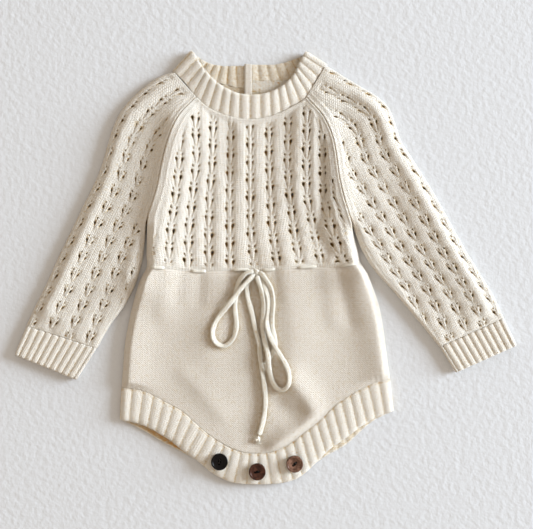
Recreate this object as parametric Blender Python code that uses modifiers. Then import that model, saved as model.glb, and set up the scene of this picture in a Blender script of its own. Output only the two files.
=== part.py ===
"""A baby's long-sleeved knitted romper, laid flat on its back with the arms spread.

The origin is under the middle of the romper, on the surface it lies on. +Y runs up to the collar,
+Z is up through the cloth, and "left" and "right" are the sides as seen from above.
Tables and sizes are in millimetres and become metres where a mesh or a curve is made.
"""
import math
from bisect import bisect_right
from collections import namedtuple

import bmesh
import bpy
import numpy as np
from mathutils import Vector

MM = 0.001

# The knitted walls, and how the front lies over the back.
KNIT = 2.4                # wall of the plain and the lace knitting
RIB_WALL = 2.6            # wall of the collar, the cuffs and the leg bands, in a groove
RIB_DEPTH = 0.9           # how far a rib stands up
SEAM = 0.4                # clear gap where two pieces are sewn together
FRONT_INSIDE = 3.4        # height of the inside of the front, over the back
FRONT_OUTSIDE = FRONT_INSIDE + KNIT
EDGE = 5.0                # width over which the front rounds down to its side seams

# The lace: columns of eyelets each side of a raised spine, every other column half a step down.
COLUMN = 17.0             # from spine to spine
REPEAT = 16.0             # from one pair of eyelets to the next
LACE_RELIEF = 1.2         # how far spines and pillows stand above the eyelets
SEAM_RIDGE = 0.5          # how far the raglan seams stand up

COLLAR_RIBS = 35
CUFF_RIBS = 10            # across the upper side of a cuff
BAND_RIBS = 30

CORD = 3.4                # drawstring diameter
CORD_GAP = 0.4            # between the drawstring and what it lies on
BUTTON = 15.0             # button diameter
BUTTON_THICK = 3.2

SleeveRow = namedtuple("SleeveRow", "fold_x fold_y seam_x seam_y closed")
CollarRow = namedtuple("CollarRow", "top_x top_y seam_x seam_y turn")
BandRow = namedtuple("BandRow", "upper_x upper_y lower_x lower_y")
EdgeRow = namedtuple("EdgeRow", "x y")
CordRow = namedtuple("CordRow", "x y layer")
Fold = namedtuple("Fold", "x0 y0 x1 y1 width height")
ButtonPlace = namedtuple("ButtonPlace", "name x y turn")

# Sleeve stations from the collar to the cuff. `fold` is the crease along the arm's upper side and
# `seam` the raglan seam, and below the underarm the crease of the sleeve's own seam.
# `closed` is 0 where the sleeve opens into the body and 1 where it is a tube.
SLEEVE_LEFT = [SleeveRow(*row) for row in (
    (-83.0, 176.5, -62.5, 153.5, 0),
    (-96.0, 172.0, -70.0, 146.0, 0),
    (-107.5, 164.5, -77.5, 137.0, 0),
    (-119.0, 154.5, -84.5, 123.5, 0),
    (-130.0, 142.0, -89.5, 108.5, 0),
    (-137.5, 127.0, -94.0, 89.5, 0),
    (-143.0, 109.5, -97.5, 71.5, 0),
    (-149.0, 89.5, -102.5, 55.5, 0),
    (-156.5, 72.0, -107.0, 41.0, 0.15),
    (-165.5, 54.0, -109.0, 23.0, 1),
    (-176.5, 31.0, -111.5, 5.0, 1),
    (-187.5, 8.5, -118.0, -16.5, 1),
    (-197.5, -14.0, -127.5, -35.0, 1),
    (-207.5, -34.0, -140.0, -52.0, 1),
    (-216.0, -52.5, -152.0, -73.0, 1),
)]
SLEEVE_RIGHT = [SleeveRow(*row) for row in (
    (55.0, 182.0, 37.0, 153.0, 0),
    (69.5, 173.0, 43.5, 145.5, 0),
    (83.5, 164.5, 50.0, 138.0, 0),
    (98.0, 156.0, 56.0, 127.5, 0),
    (109.5, 146.0, 60.5, 115.5, 0),
    (116.5, 131.0, 63.5, 99.5, 0),
    (121.5, 115.5, 66.0, 81.5, 0),
    (131.5, 99.5, 69.5, 65.5, 0),
    (143.5, 80.5, 74.5, 48.5, 0.15),
    (157.0, 58.0, 80.5, 31.0, 1),
    (169.5, 35.0, 88.0, 13.0, 1),
    (182.0, 13.0, 100.0, -5.0, 1),
    (195.0, -8.0, 116.0, -22.5, 1),
    (205.5, -25.5, 135.5, -45.5, 1),
    (215.0, -45.5, 156.5, -71.5, 1),
)]
CUFF_END_LEFT = SleeveRow(-227.0, -78.5, -170.0, -101.5, 1)
CUFF_END_RIGHT = SleeveRow(227.0, -70.0, 171.0, -95.0, 1)

# The body's side edges from the underarm down, where the sleeves have left them.
SIDE_LEFT = [EdgeRow(*row) for row in (
    (-107.0, 24.5), (-107.5, 8.5), (-107.0, 1.0), (-112.5, -9.5), (-118.5, -28.5), (-123.0, -47.5),
    (-127.0, -70.0), (-128.5, -89.0), (-130.0, -108.0), (-131.5, -137.5),
)]
SIDE_RIGHT = [EdgeRow(*row) for row in (
    (78.5, 31.0), (83.0, 15.5), (85.0, 5.0), (91.5, -5.0), (95.5, -15.0), (101.5, -32.0),
    (106.0, -55.0), (109.0, -77.5), (112.0, -100.5), (115.5, -129.5),
)]
WAIST = [EdgeRow(*row) for row in (
    (-107.0, 1.0), (-90.0, -0.5), (-65.5, -3.0), (-46.0, -3.0), (-27.5, -2.5), (-10.5, -3.0),
    (6.5, -2.5), (29.0, 0.0), (46.0, 1.0), (70.0, 1.5), (85.0, 5.0),
)]

# The collar from the left half of the back, round the left crease, across the front and back.
# `turn` is 0 on the back half and 1 on the front half; each crease turns from one to the other.
COLLAR = [CollarRow(*row) for row in (
    (-16.0, 182.0, -16.0, 161.0, 0),
    (-27.0, 182.0, -26.0, 162.5, 0),
    (-39.5, 182.0, -44.0, 166.5, 0),
    (-51.0, 184.5, -61.0, 169.5, 0),
    (-59.0, 188.5, -73.0, 172.5, 0),
    (-63.6, 192.2, -80.8, 174.6, 0),
    (-63.6, 192.2, -80.8, 174.6, 1),
    (-58.5, 183.5, -73.6, 167.2, 1),
    (-52.0, 175.0, -62.5, 153.8, 1),
    (-44.5, 167.5, -52.0, 144.5, 1),
    (-35.5, 161.5, -39.5, 138.5, 1),
    (-25.0, 157.0, -26.0, 134.8, 1),
    (-12.5, 155.5, -12.5, 133.5, 1),
    (0.0, 157.0, 0.5, 135.2, 1),
    (10.5, 161.0, 13.0, 139.5, 1),
    (19.0, 167.0, 25.5, 146.0, 1),
    (25.5, 174.5, 37.0, 153.3, 1),
    (29.5, 183.0, 45.0, 168.2, 1),
    (33.8, 191.2, 52.9, 179.8, 1),
    (33.8, 191.2, 52.9, 179.8, 0),
    (29.5, 189.5, 43.5, 176.0, 0),
    (22.0, 186.5, 31.0, 170.5, 0),
    (10.0, 183.5, 15.5, 168.5, 0),
    (-3.5, 183.0, -1.5, 168.2, 0),
    (-15.3, 183.3, -15.3, 168.0, 0),
)]
NECK_MIDDLE = Vector((-15.0, 172.0))
COLLAR_FRONT_RISE = 3.0   # the collar's free edge stands this much above its seam
OPENING_X = -15.65        # the slit down the middle of the back
OPENING_END_Y = 100.0
PLACKET = (-19.2, -12.6, 152.0, 183.4)      # x from, x to, y from, y to
PLACKET_THICK = 1.5

# The ribbed band round both legs and the crotch, front half, from side to side.
LEG_BAND = [BandRow(*row) for row in (
    (-130.0, -108.3, -131.5, -137.5),
    (-112.5, -110.5, -116.5, -140.5),
    (-99.5, -116.0, -105.5, -144.5),
    (-88.0, -122.5, -96.0, -150.0),
    (-76.0, -129.0, -86.0, -156.0),
    (-63.5, -140.0, -75.5, -164.5),
    (-50.0, -151.5, -62.5, -173.5),
    (-37.0, -160.0, -47.0, -186.0),
    (-23.0, -166.0, -29.5, -194.0),
    (-8.5, -167.5, -8.0, -195.5),
    (6.5, -166.0, 13.0, -194.5),
    (21.0, -159.0, 29.0, -190.0),
    (35.5, -148.0, 44.0, -177.5),
    (49.0, -137.5, 57.0, -164.5),
    (62.5, -124.0, 70.5, -155.0),
    (75.0, -115.5, 82.0, -146.5),
    (86.5, -109.0, 94.0, -138.0),
    (99.5, -103.5, 105.0, -132.5),
    (112.0, -101.0, 115.5, -129.5),
)]
# The back half's free edge, which shows below the front's at each leg.
BACK_HEM = [EdgeRow(*row) for row in (
    (-130.7, -137.8), (-110.5, -147.5), (-92.0, -158.5), (-74.5, -167.5), (-60.0, -175.5),
    (-47.5, -184.5), (-29.5, -192.5), (-8.0, -194.0), (13.0, -193.0), (28.0, -188.5),
    (42.5, -178.5), (58.0, -168.5), (73.0, -160.0), (86.5, -147.5), (97.5, -138.5), (114.7, -130.0),
)]

# The largest folds of the front below the waist: crest or trough lines, width and height.
FOLDS = [Fold(*row) for row in (
    (-92.0, -8.0, -96.0, -34.0, 9.0, 1.1),
    (-76.0, -9.0, -80.0, -26.0, 6.0, -0.5),
    (-59.0, -6.0, -60.0, -30.0, 6.0, -0.6),
    (-45.0, -8.0, -46.0, -36.0, 7.0, 0.9),
    (-33.0, -6.0, -32.0, -22.0, 5.0, -0.5),
    (-9.0, -30.0, -4.0, -150.0, 13.0, -0.5),
    (26.0, -14.0, 30.0, -60.0, 10.0, 0.9),
    (56.0, -12.0, 62.0, -48.0, 8.0, 0.7),
    (70.0, -24.0, 78.0, -62.0, 7.0, -0.5),
    (46.0, -114.0, 12.0, -156.0, 8.0, 1.5),
    (36.0, -112.0, -1.0, -150.0, 7.0, -0.5),
    (-72.0, -96.0, -40.0, -132.0, 9.0, 0.8),
)]

# The drawstring's visible stretches. `layer` is 0 on the cloth and 1 over one other strand.
KNOT = Vector((-8.4, -5.0))
KNOT_SIZE = (8.0, 7.2, 7.6)
LOOP_LEFT = [CordRow(*row) for row in (
    (-12.4, -8.6, 1), (-17.9, -14.1, 1), (-23.6, -20.9, 1), (-29.3, -28.4, 1), (-35.7, -36.4, 0.5),
    (-41.4, -43.3, 0), (-45.9, -50.8, 0), (-47.7, -57.6, 0), (-46.6, -64.6, 0), (-42.6, -69.2, 0),
    (-37.9, -70.6, 0), (-32.8, -68.0, 0), (-28.8, -62.9, 0), (-27.0, -56.6, 0), (-26.4, -49.6, 0),
    (-27.0, -43.3, 0), (-27.6, -37.6, 0), (-27.6, -33.0, 0), (-27.0, -27.0, 0), (-25.8, -18.9, 0),
    (-23.8, -12.8, 0.1), (-20.7, -8.3, 0.7), (-17.4, -5.3, 1), (-13.8, -4.0, 1),
)]
LOOP_RIGHT = [CordRow(*row) for row in (
    (-7.2, -10.4, 1), (-5.1, -16.7, 0.7), (-3.5, -23.0, 0.1), (-2.2, -29.3, 0), (-1.8, -37.4, 0),
    (-2.4, -43.7, 0), (-3.0, -50.9, 0), (-2.2, -59.0, 0), (-0.4, -68.0, 0.4), (1.7, -76.0, 1),
    (3.0, -87.8, 1), (4.1, -95.9, 0.1), (6.6, -103.5, 0), (10.7, -108.7, 0), (15.2, -109.9, 0),
    (19.2, -107.0, 0), (21.2, -99.9, 0), (20.1, -92.3, 0), (17.1, -85.5, 0), (13.1, -78.8, 0.5),
    (8.9, -72.0, 1), (5.4, -65.3, 1), (2.6, -58.1, 1), (1.2, -51.3, 0.3), (1.6, -44.6, 0),
    (2.4, -37.4, 0), (2.4, -30.2, 0), (1.2, -23.4, 0), (-1.0, -17.6, 0), (-4.0, -10.4, 0),
)]
TAIL_LONG = [CordRow(*row) for row in (
    (-12.0, -9.4, 0), (-15.4, -12.8, 0), (-17.0, -17.5, 0), (-16.7, -23.3, 0), (-15.0, -31.8, 0),
    (-12.6, -40.5, 0), (-10.4, -50.8, 0), (-8.1, -60.5, 0), (-5.8, -69.2, 0), (-5.1, -78.3, 0),
    (-4.2, -86.9, 0), (-2.8, -95.9, 0), (-1.3, -105.8, 0), (-0.3, -115.7, 0), (-0.7, -128.0, 0),
    (-2.3, -137.9, 0), (-4.9, -147.8, 0), (-6.0, -151.5, 0),
)]
TAIL_SHORT = [CordRow(*row) for row in (
    (-3.0, -6.4, 1), (0.5, -11.0, 0.8), (3.6, -16.3, 0.2), (5.8, -23.3, 0), (6.4, -30.2, 0),
    (6.3, -37.6, 0), (5.8, -45.0, 0), (5.9, -52.0, 0), (7.0, -59.4, 0), (8.3, -65.7, 0),
    (8.3, -70.7, 0), (6.2, -76.5, 0), (2.9, -82.0, 0), (-0.2, -84.8, 0),
)]
END_KNOT = (-7.2, -156.4)
WAIST_STRETCHES = [
    [CordRow(-103.0, 0.2, 0), CordRow(-97.0, 0.0, 0), CordRow(-90.5, -0.4, 0)],
    [CordRow(-67.0, -3.0, 0), CordRow(-60.5, -3.3, 0), CordRow(-53.5, -3.1, 0)],
    [CordRow(-29.5, -2.4, 0), CordRow(-21.5, -1.8, 0), CordRow(-14.0, -2.7, 0)],
    [CordRow(-2.8, -2.2, 0), CordRow(3.0, -1.9, 0), CordRow(8.5, -1.2, 0)],
    [CordRow(29.0, 0.0, 0), CordRow(37.5, 0.6, 0), CordRow(46.0, 1.0, 0)],
    [CordRow(69.0, 1.6, 0), CordRow(74.5, 2.4, 0), CordRow(80.5, 4.2, 0)],
]
BUTTONS = [ButtonPlace(*row) for row in (
    ("button_left", -41.5, -174.5, 80),
    ("button_middle", -7.5, -183.5, 12),
    ("button_right", 26.0, -176.5, 45),
)]


def smooth_rows(rows, step, start=0.0, end=0.0):
    """Rows about `step` apart on a smooth curve through a table's rows.

    The way from row to row is measured half way between its first two points, and `start` and
    `end` leave that much of it out.
    """
    table = np.array([tuple(row) for row in rows], dtype=float)
    middle = table[:, :2]
    if table.shape[1] >= 4:
        middle = (table[:, :2] + table[:, 2:4]) / 2
    spans = np.maximum(np.linalg.norm(np.diff(middle, axis=0), axis=1), 0.001)
    if table.shape[1] == 5:
        spans = np.maximum(spans, np.abs(np.diff(table[:, 4])) * math.pi * FRONT_INSIDE)
    places = np.concatenate([[0.0], np.cumsum(spans)])
    slopes = np.diff(table, axis=0) / spans[:, None]
    weights = spans[1:, None] / (spans[1:, None] + spans[:-1, None])
    tangents = np.vstack([slopes[0], slopes[:-1] * weights + slopes[1:] * (1 - weights), slopes[-1]])
    count = max(1, round((places[-1] - start - end) / step))
    result = []
    for number in range(count + 1):
        place = start + (places[-1] - start - end) * number / count
        index = min(bisect_right(places, place) - 1, len(spans) - 1)
        span = spans[index]
        f = (place - places[index]) / span
        row = (table[index] * (1 + 2 * f) * (1 - f) ** 2
               + table[index + 1] * f * f * (3 - 2 * f)
               + tangents[index] * span * f * (1 - f) ** 2
               - tangents[index + 1] * span * f * f * (1 - f))
        result.append((place, row))
    return result


def line_height(line, x):
    """Height on the page of a line that runs from left to right, at `x`."""
    return float(np.interp(x, [point[0] for point in line], [point[1] for point in line]))


def line_side(line, y):
    """How far across the page a line lies that runs from top to bottom, at `y`."""
    return float(np.interp(-y, [-point[1] for point in line], [point[0] for point in line]))


def lace_relief(column, row):
    """Height of the lace at a place counted in columns and repeats: eyelets lie low."""
    half_drop = 0.5 * round(column)
    dip = math.sin(2 * math.pi * column) ** 2
    dip *= 0.7 + 0.3 * math.cos(2 * math.pi * (row - half_drop))
    return LACE_RELIEF * (1 - dip)


def fold_height(x, y):
    """Height that the front's folds add or take away below the waist."""
    height = 0.0
    for fold in FOLDS:
        along = Vector((fold.x1 - fold.x0, fold.y1 - fold.y0))
        offset = Vector((x - fold.x0, y - fold.y0))
        part = min(1.0, max(0.0, offset.dot(along) / along.length_squared))
        away = (offset - along * part).length
        height += fold.height * math.exp(-(away / fold.width) ** 2)
    return height


def side_drop(x, y):
    """How much of the rounding down to the side seams a place on the front has, 0 to 1."""
    inward = min(x - line_side(body_left, y), line_side(body_right, y) - x)
    return (1 - min(1.0, max(0.0, inward / EDGE))) ** 2


def front_inside(x, y):
    """Height of the inside of the front below the waist."""
    return FRONT_INSIDE + fold_height(x, y) - 0.7 * side_drop(x, y)


def link(obj, color, roughness):
    """Put an object in the romper's collection with a plain material of its own."""
    material = bpy.data.materials.new(obj.name)
    material.use_nodes = True
    shader = material.node_tree.nodes["Principled BSDF"]
    shader.inputs["Base Color"].default_value = (*color, 1)
    shader.inputs["Roughness"].default_value = roughness
    shader.inputs["Metallic"].default_value = 0
    obj.data.materials.clear()
    obj.data.materials.append(material)
    romper.objects.link(obj)
    obj.parent = root
    return obj


def zip_edges(bm, first, second):
    """Join two rows of vertices that start and end side by side with triangles."""
    i = j = 0
    while i < len(first) - 1 or j < len(second) - 1:
        if j == len(second) - 1 or (i + 1) / (len(first) - 1) <= (j + 1) / (len(second) - 1):
            if i < len(first) - 1:
                bm.faces.new((first[i], first[i + 1], second[j]))
                i += 1
                continue
        bm.faces.new((first[i], second[j + 1], second[j]))
        j += 1


def finish_mesh(name, bm, color, sharp=50):
    """Make an object of a closed mesh that was built in millimetres."""
    bmesh.ops.remove_doubles(bm, verts=bm.verts, dist=0.02)
    bmesh.ops.dissolve_degenerate(bm, dist=0.01, edges=bm.edges)
    bmesh.ops.scale(bm, vec=(MM, MM, MM), verts=bm.verts)
    bmesh.ops.recalc_face_normals(bm, faces=bm.faces)
    mesh = bpy.data.meshes.new(name)
    bm.to_mesh(mesh)
    bm.free()
    mesh.shade_smooth()
    mesh.set_sharp_from_angle(angle=math.radians(sharp))
    return link(bpy.data.objects.new(name, mesh), color, 0.9)


def add_wall(name, outer, inner, color, ring=False):
    """A wall of cloth lofted through sections. Each has a row of points on its outer side and one
    on its inner side, which may have fewer points; `ring` joins each row's end to its start."""
    bm = bmesh.new()
    outer = [[bm.verts.new(point) for point in row] for row in outer]
    inner = [[bm.verts.new(point) for point in row] for row in inner]
    for grid, turned in ((outer, False), (inner, True)):
        for row, following in zip(grid, grid[1:]):
            count = len(row)
            for k in range(count if ring else count - 1):
                face = (row[k], row[(k + 1) % count], following[(k + 1) % count], following[k])
                bm.faces.new(face[::-1] if turned else face)
    if not ring:
        for end in (0, -1):
            for k in range(len(outer) - 1):
                bm.faces.new((outer[k][end], outer[k + 1][end], inner[k + 1][end], inner[k][end]))
    for end in (0, -1):
        rim = outer[end] + outer[end][:1] if ring else outer[end]
        inner_rim = inner[end] + inner[end][:1] if ring else inner[end]
        zip_edges(bm, rim, inner_rim)
    return finish_mesh(name, bm, color)


def add_flat(name, outline, low, high, color):
    """A flat piece of cloth from its outline, between two heights."""
    curve = bpy.data.curves.new(name, "CURVE")
    curve.dimensions = "2D"
    curve.fill_mode = "BOTH"
    curve.extrude = (high - low) / 2 * MM
    spline = curve.splines.new("POLY")
    spline.points.add(len(outline) - 1)
    for point, place in zip(spline.points, outline):
        point.co = (place[0] * MM, place[1] * MM, 0, 1)
    spline.use_cyclic_u = True
    obj = link(bpy.data.objects.new(name, curve), color, 0.9)
    obj.location.z = (high + low) / 2 * MM
    return obj


def sleeve_section(row, height, place):
    """Outer and inner outline across a sleeve, from the seam's front edge round to its back."""
    fold = Vector((row[0], row[1]))
    seam = Vector((row[2], row[3]))
    closed = min(1.0, max(0.0, row[4]))
    width = (fold - seam).length
    across = (fold - seam) / width
    radius = height / 2
    inner_radius = radius - KNIT
    steps = math.ceil(SLEEVE_WIDEST * 4 / COLUMN)

    def dome(w):
        return 0.8 * math.sin(math.pi * min(1.0, max(0.0, (w - radius) / (width - 2 * radius))))

    def curl(part, size, side):
        """The seam side's end: a straight edge where it is open, a crease where it is closed."""
        angle = part * (math.pi / 2 - SEAM / 2 / radius)
        flat = Vector((radius * (1 - part) + SEAM / 2 * part, side * size))
        bent = Vector((radius - size * math.sin(angle), side * size * math.cos(angle)))
        if size < radius:
            bent.x = max(bent.x, radius - size)
        return flat.lerp(bent, closed) + Vector((0, radius))

    outer = []
    for part in (1, 0.66, 0.33):
        ridge = SEAM_RIDGE * (1 - closed) * part
        outer.append(curl(part, radius, 1) + Vector((0, ridge)))
    for step in range(steps, -1, -1):
        w = max(radius, width - radius - step * COLUMN / 4)
        relief = lace_relief((width - w) / COLUMN, place / REPEAT) - LACE_RELIEF / 2
        outer.append(Vector((w, height + dome(w) + relief * min(1, (width - radius - w) / 3))))
    for angle in (45, 0, -45, -90):
        turn = math.radians(angle)
        outer.append(Vector((width - radius + radius * math.cos(turn), radius + radius * math.sin(turn))))
    for part in (0, 0.5, 1):
        outer.append(curl(part, radius, -1))

    inner = [curl(1, inner_radius, 1)]
    for part in (0, 0.5, 1):
        w = radius + (width - 2 * radius) * part
        inner.append(Vector((w, height - KNIT + dome(w))))
    inner.append(Vector((width - radius + inner_radius, radius)))
    for part in (1, 0):
        inner.append(Vector((radius + (width - 2 * radius) * part, KNIT)))
    inner.append(curl(1, inner_radius, -1))

    def placed(outline):
        return [(seam.x + across.x * w, seam.y + across.y * w, z) for w, z in outline]
    return placed(outer), placed(inner)


def add_sleeve(name, stations):
    """One sleeve: a sheet of lace folded over along the arm and joined at the raglan seams."""
    sections = [sleeve_section(row, FRONT_OUTSIDE, place) for place, row in stations]
    return add_wall(name, [s[0] for s in sections], [s[1] for s in sections], CREAM)


def cuff_section(row, height, lift):
    """Outer and inner ring across a cuff: ribs on its upper side, flat underneath."""
    fold = Vector((row[0], row[1]))
    seam = Vector((row[2], row[3]))
    width = (fold - seam).length
    across = (fold - seam) / width
    radius = height / 2
    inner_radius = radius - RIB_WALL + RIB_DEPTH / 2
    outer = []
    pitch = (width - radius) / CUFF_RIBS
    for rib in range(CUFF_RIBS):
        for part, up in ((0, 0), (0.28, 1), (0.72, 1)):
            w = radius / 2 + (rib + part) * pitch
            edge = min(w, width - w) / radius
            round_off = radius * (1 - math.sqrt(max(0.0, 1 - (1 - min(1, edge)) ** 2)))
            outer.append((w, height - RIB_DEPTH * (1 - up) - round_off + lift))
    outer.append((width - radius / 2, height - round_off - RIB_DEPTH + lift))
    outer += [(width, radius), (width - radius * 0.3, radius * 0.3), (width - radius, 0)]
    outer += [(radius, 0), (radius * 0.3, radius * 0.3), (0, radius)]
    inner = [(radius, height - RIB_WALL), (width / 2, height - RIB_WALL),
             (width - radius, height - RIB_WALL), (width - radius + inner_radius, radius),
             (width - radius, RIB_WALL), (radius, RIB_WALL), (radius - inner_radius, radius)]

    def placed(outline):
        return [(seam.x + across.x * w, seam.y + across.y * w, z) for w, z in outline]
    return placed(outer), placed(inner)


def add_cuff(name, sleeve_end, cuff_end):
    """A ribbed cuff, knitted in the round and laid flat, open at both ends."""
    rows = smooth_rows([sleeve_end, cuff_end], 9.0, start=SEAM)
    lifts = [-0.3] + [0.0] * (len(rows) - 2) + [-0.6]
    sections = [cuff_section(row, CUFF_HEIGHT, lift) for (_, row), lift in zip(rows, lifts)]
    return add_wall(name, [s[0] for s in sections], [s[1] for s in sections], CREAM_RIB, ring=True)


def rib_places(count):
    """Where a ribbed piece has its points along its length, 0 to 1, and how high each stands."""
    places = [((rib + part) / count, up) for rib in range(count) for part, up in
              ((0, 0), (0.28, 1), (0.72, 1))]
    return places + [(1.0, 0)]


def add_collar():
    """The collar: one ribbed band from the slit round the neck to the slit again."""
    fine = smooth_rows(COLLAR, 0.5)
    table = np.array([row for _, row in fine])
    ways = np.linalg.norm(np.diff(table[:, 2:4], axis=0), axis=1)
    ways += np.abs(np.diff(table[:, 4])) * math.pi * FRONT_INSIDE
    along = np.concatenate([[0.0], np.cumsum(ways)])
    outer, inner = [], []
    for place, up in rib_places(COLLAR_RIBS):
        row = [np.interp(place * along[-1], along, table[:, k]) for k in range(5)]
        top, seam = Vector(row[:2]), Vector(row[2:4])
        turn = min(1.0, max(0.0, row[4])) * math.pi
        front = (1 - math.cos(turn)) / 2
        away = (top - seam).orthogonal().normalized()
        if away.dot(seam - NECK_MIDDLE) < 0:
            away = -away
        outer_row, inner_row = [], []
        for part, thin in ((0, 0.2), (0.1, 0), (0.88, 0), (1, 0.5)):
            radius = (FRONT_OUTSIDE + COLLAR_FRONT_RISE * part) / 2
            outer_radius = radius - (RIB_DEPTH * (1 - up) + thin) * front
            inner_radius = radius - RIB_WALL - (RIB_DEPTH * up - RIB_DEPTH / 2 - thin) * (1 - front)
            plan = seam.lerp(top, part)
            for size, points in ((outer_radius, outer_row), (inner_radius, inner_row)):
                x, y = plan + away * size * math.sin(turn)
                if points is outer_row or part in (0, 1):
                    points.append((x, y, radius - size * math.cos(turn)))
        outer.append(outer_row)
        inner.append(inner_row)
    return add_wall("collar", outer, inner, CREAM_RIB)


def add_front_bodice():
    """The lace front above the waist, with a plain inside."""
    step_x, step_y = COLUMN / 4, REPEAT / 3
    columns, rows = math.ceil(200 / step_x), math.ceil(160 / step_y)
    bm = bmesh.new()
    grid = []
    for j in range(rows + 1):
        line = []
        for i in range(columns + 1):
            x, y = LACE_X + (i - columns / 2) * step_x, LACE_Y + j * step_y
            y = min(y, line_height(neckline, x) - SEAM)
            left = line_side(body_left, y) + SEAM / 2
            right = line_side(body_right, y) - SEAM / 2
            x = min(max(x, left), right)
            y = max(min(y, line_height(neckline, x) - SEAM), line_height(waist, x) + SEAM / 2)
            relief = lace_relief((x - LACE_X) / COLUMN, (y - LACE_Y) / REPEAT)
            relief *= min(1.0, max(0.0, (y - line_height(waist, x) - 4) / 5))
            inward = min(x - left, right - x)
            if y > UNDERARM_Y:
                relief = max(relief, SEAM_RIDGE * 1.5) if inward < 0.1 else relief
                drop = 0.0
            else:
                drop = side_drop(x, y)
            line.append(bm.verts.new((x, y, FRONT_OUTSIDE + relief * (1 - drop) - 1.8 * drop)))
        grid.append(line)
    for row, following in zip(grid, grid[1:]):
        for k in range(columns):
            bm.faces.new((row[k], row[k + 1], following[k + 1], following[k]))
    bmesh.ops.remove_doubles(bm, verts=bm.verts, dist=0.05)
    bmesh.ops.dissolve_degenerate(bm, dist=0.04, edges=bm.edges)
    rim = [edge for edge in bm.edges if edge.is_boundary]
    made = bmesh.ops.extrude_edge_only(bm, edges=rim)["geom"]
    for vert in made:
        if isinstance(vert, bmesh.types.BMVert):
            vert.co.z = FRONT_INSIDE
    floor = [edge for edge in made if isinstance(edge, bmesh.types.BMEdge)]
    bmesh.ops.holes_fill(bm, edges=floor, sides=0)
    return finish_mesh("front_bodice", bm, CREAM)


def add_front_lower():
    """The plain front below the waist, with its largest folds, down to the leg band."""
    parts = [0, 0.012, 0.03] + [0.03 + 0.94 * k / 24 for k in range(1, 24)] + [0.97, 0.988, 1]
    levels = 13
    top = [Vector((x, line_height(waist, x) - SEAM / 2)) for x in
           (body_left_waist + (body_right_waist - body_left_waist) * part for part in parts)]
    band_line = np.array([row[:2] for _, row in band_rows])
    ways = np.concatenate([[0], np.cumsum(np.linalg.norm(np.diff(band_line, axis=0), axis=1))])
    bottom = [Vector([np.interp(part * ways[-1], ways, band_line[:, k]) for k in (0, 1)])
              + Vector((0, SEAM * 1.2)) for part in parts]
    outer, inner = [], []
    for level in range(levels + 1):
        v = level / levels
        left_y = top[0].y + (bottom[0].y - top[0].y) * v
        right_y = top[-1].y + (bottom[-1].y - top[-1].y) * v
        left = Vector((line_side(body_left, left_y), left_y))
        right = Vector((line_side(body_right, right_y), right_y))
        outer_row, inner_row = [], []
        for k, u in enumerate(parts):
            corner = (top[0].lerp(top[-1], u)).lerp(bottom[0].lerp(bottom[-1], u), v)
            place = top[k].lerp(bottom[k], v) + left.lerp(right, u) - corner
            inside = front_inside(place.x, place.y)
            outside = inside + KNIT - 1.1 * side_drop(place.x, place.y)
            outer_row.append((place.x, place.y, outside))
            inner_row.append((place.x, place.y, inside))
        outer.append(outer_row)
        inner.append(inner_row)
    return add_wall("front_lower", outer, inner, CREAM_PLAIN)


def add_leg_band():
    """The front half of the ribbed leg band, from side seam to side seam round the crotch."""
    table = np.array([row for _, row in band_rows])
    middle = (table[:, :2] + table[:, 2:]) / 2
    ways = np.concatenate([[0], np.cumsum(np.linalg.norm(np.diff(middle, axis=0), axis=1))])
    outer, inner = [], []
    for place, up in rib_places(BAND_RIBS):
        row = [np.interp(place * ways[-1], ways, table[:, k]) for k in range(4)]
        upper, lower = Vector(row[:2]), Vector(row[2:])
        end = (1 - min(1.0, min(place, 1 - place) * ways[-1] / EDGE)) ** 2
        outer_row = []
        for part, height, rib in ((0, 0, 0.3), (0.08, 0.2, 1), (0.5, 0.5, 1), (0.92, 0.1, 1), (1, -1.0, 0.5)):
            x, y = upper.lerp(lower, part)
            z = FRONT_OUTSIDE + height + RIB_DEPTH * (up * rib - 0.4) - 1.6 * end
            outer_row.append((x, y, z))
        inner_row = [(*upper, BAND_INSIDE), (*lower, BAND_INSIDE)]
        outer.append(outer_row)
        inner.append(inner_row)
    return add_wall("front_leg_band", outer, inner, CREAM_RIB)


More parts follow.
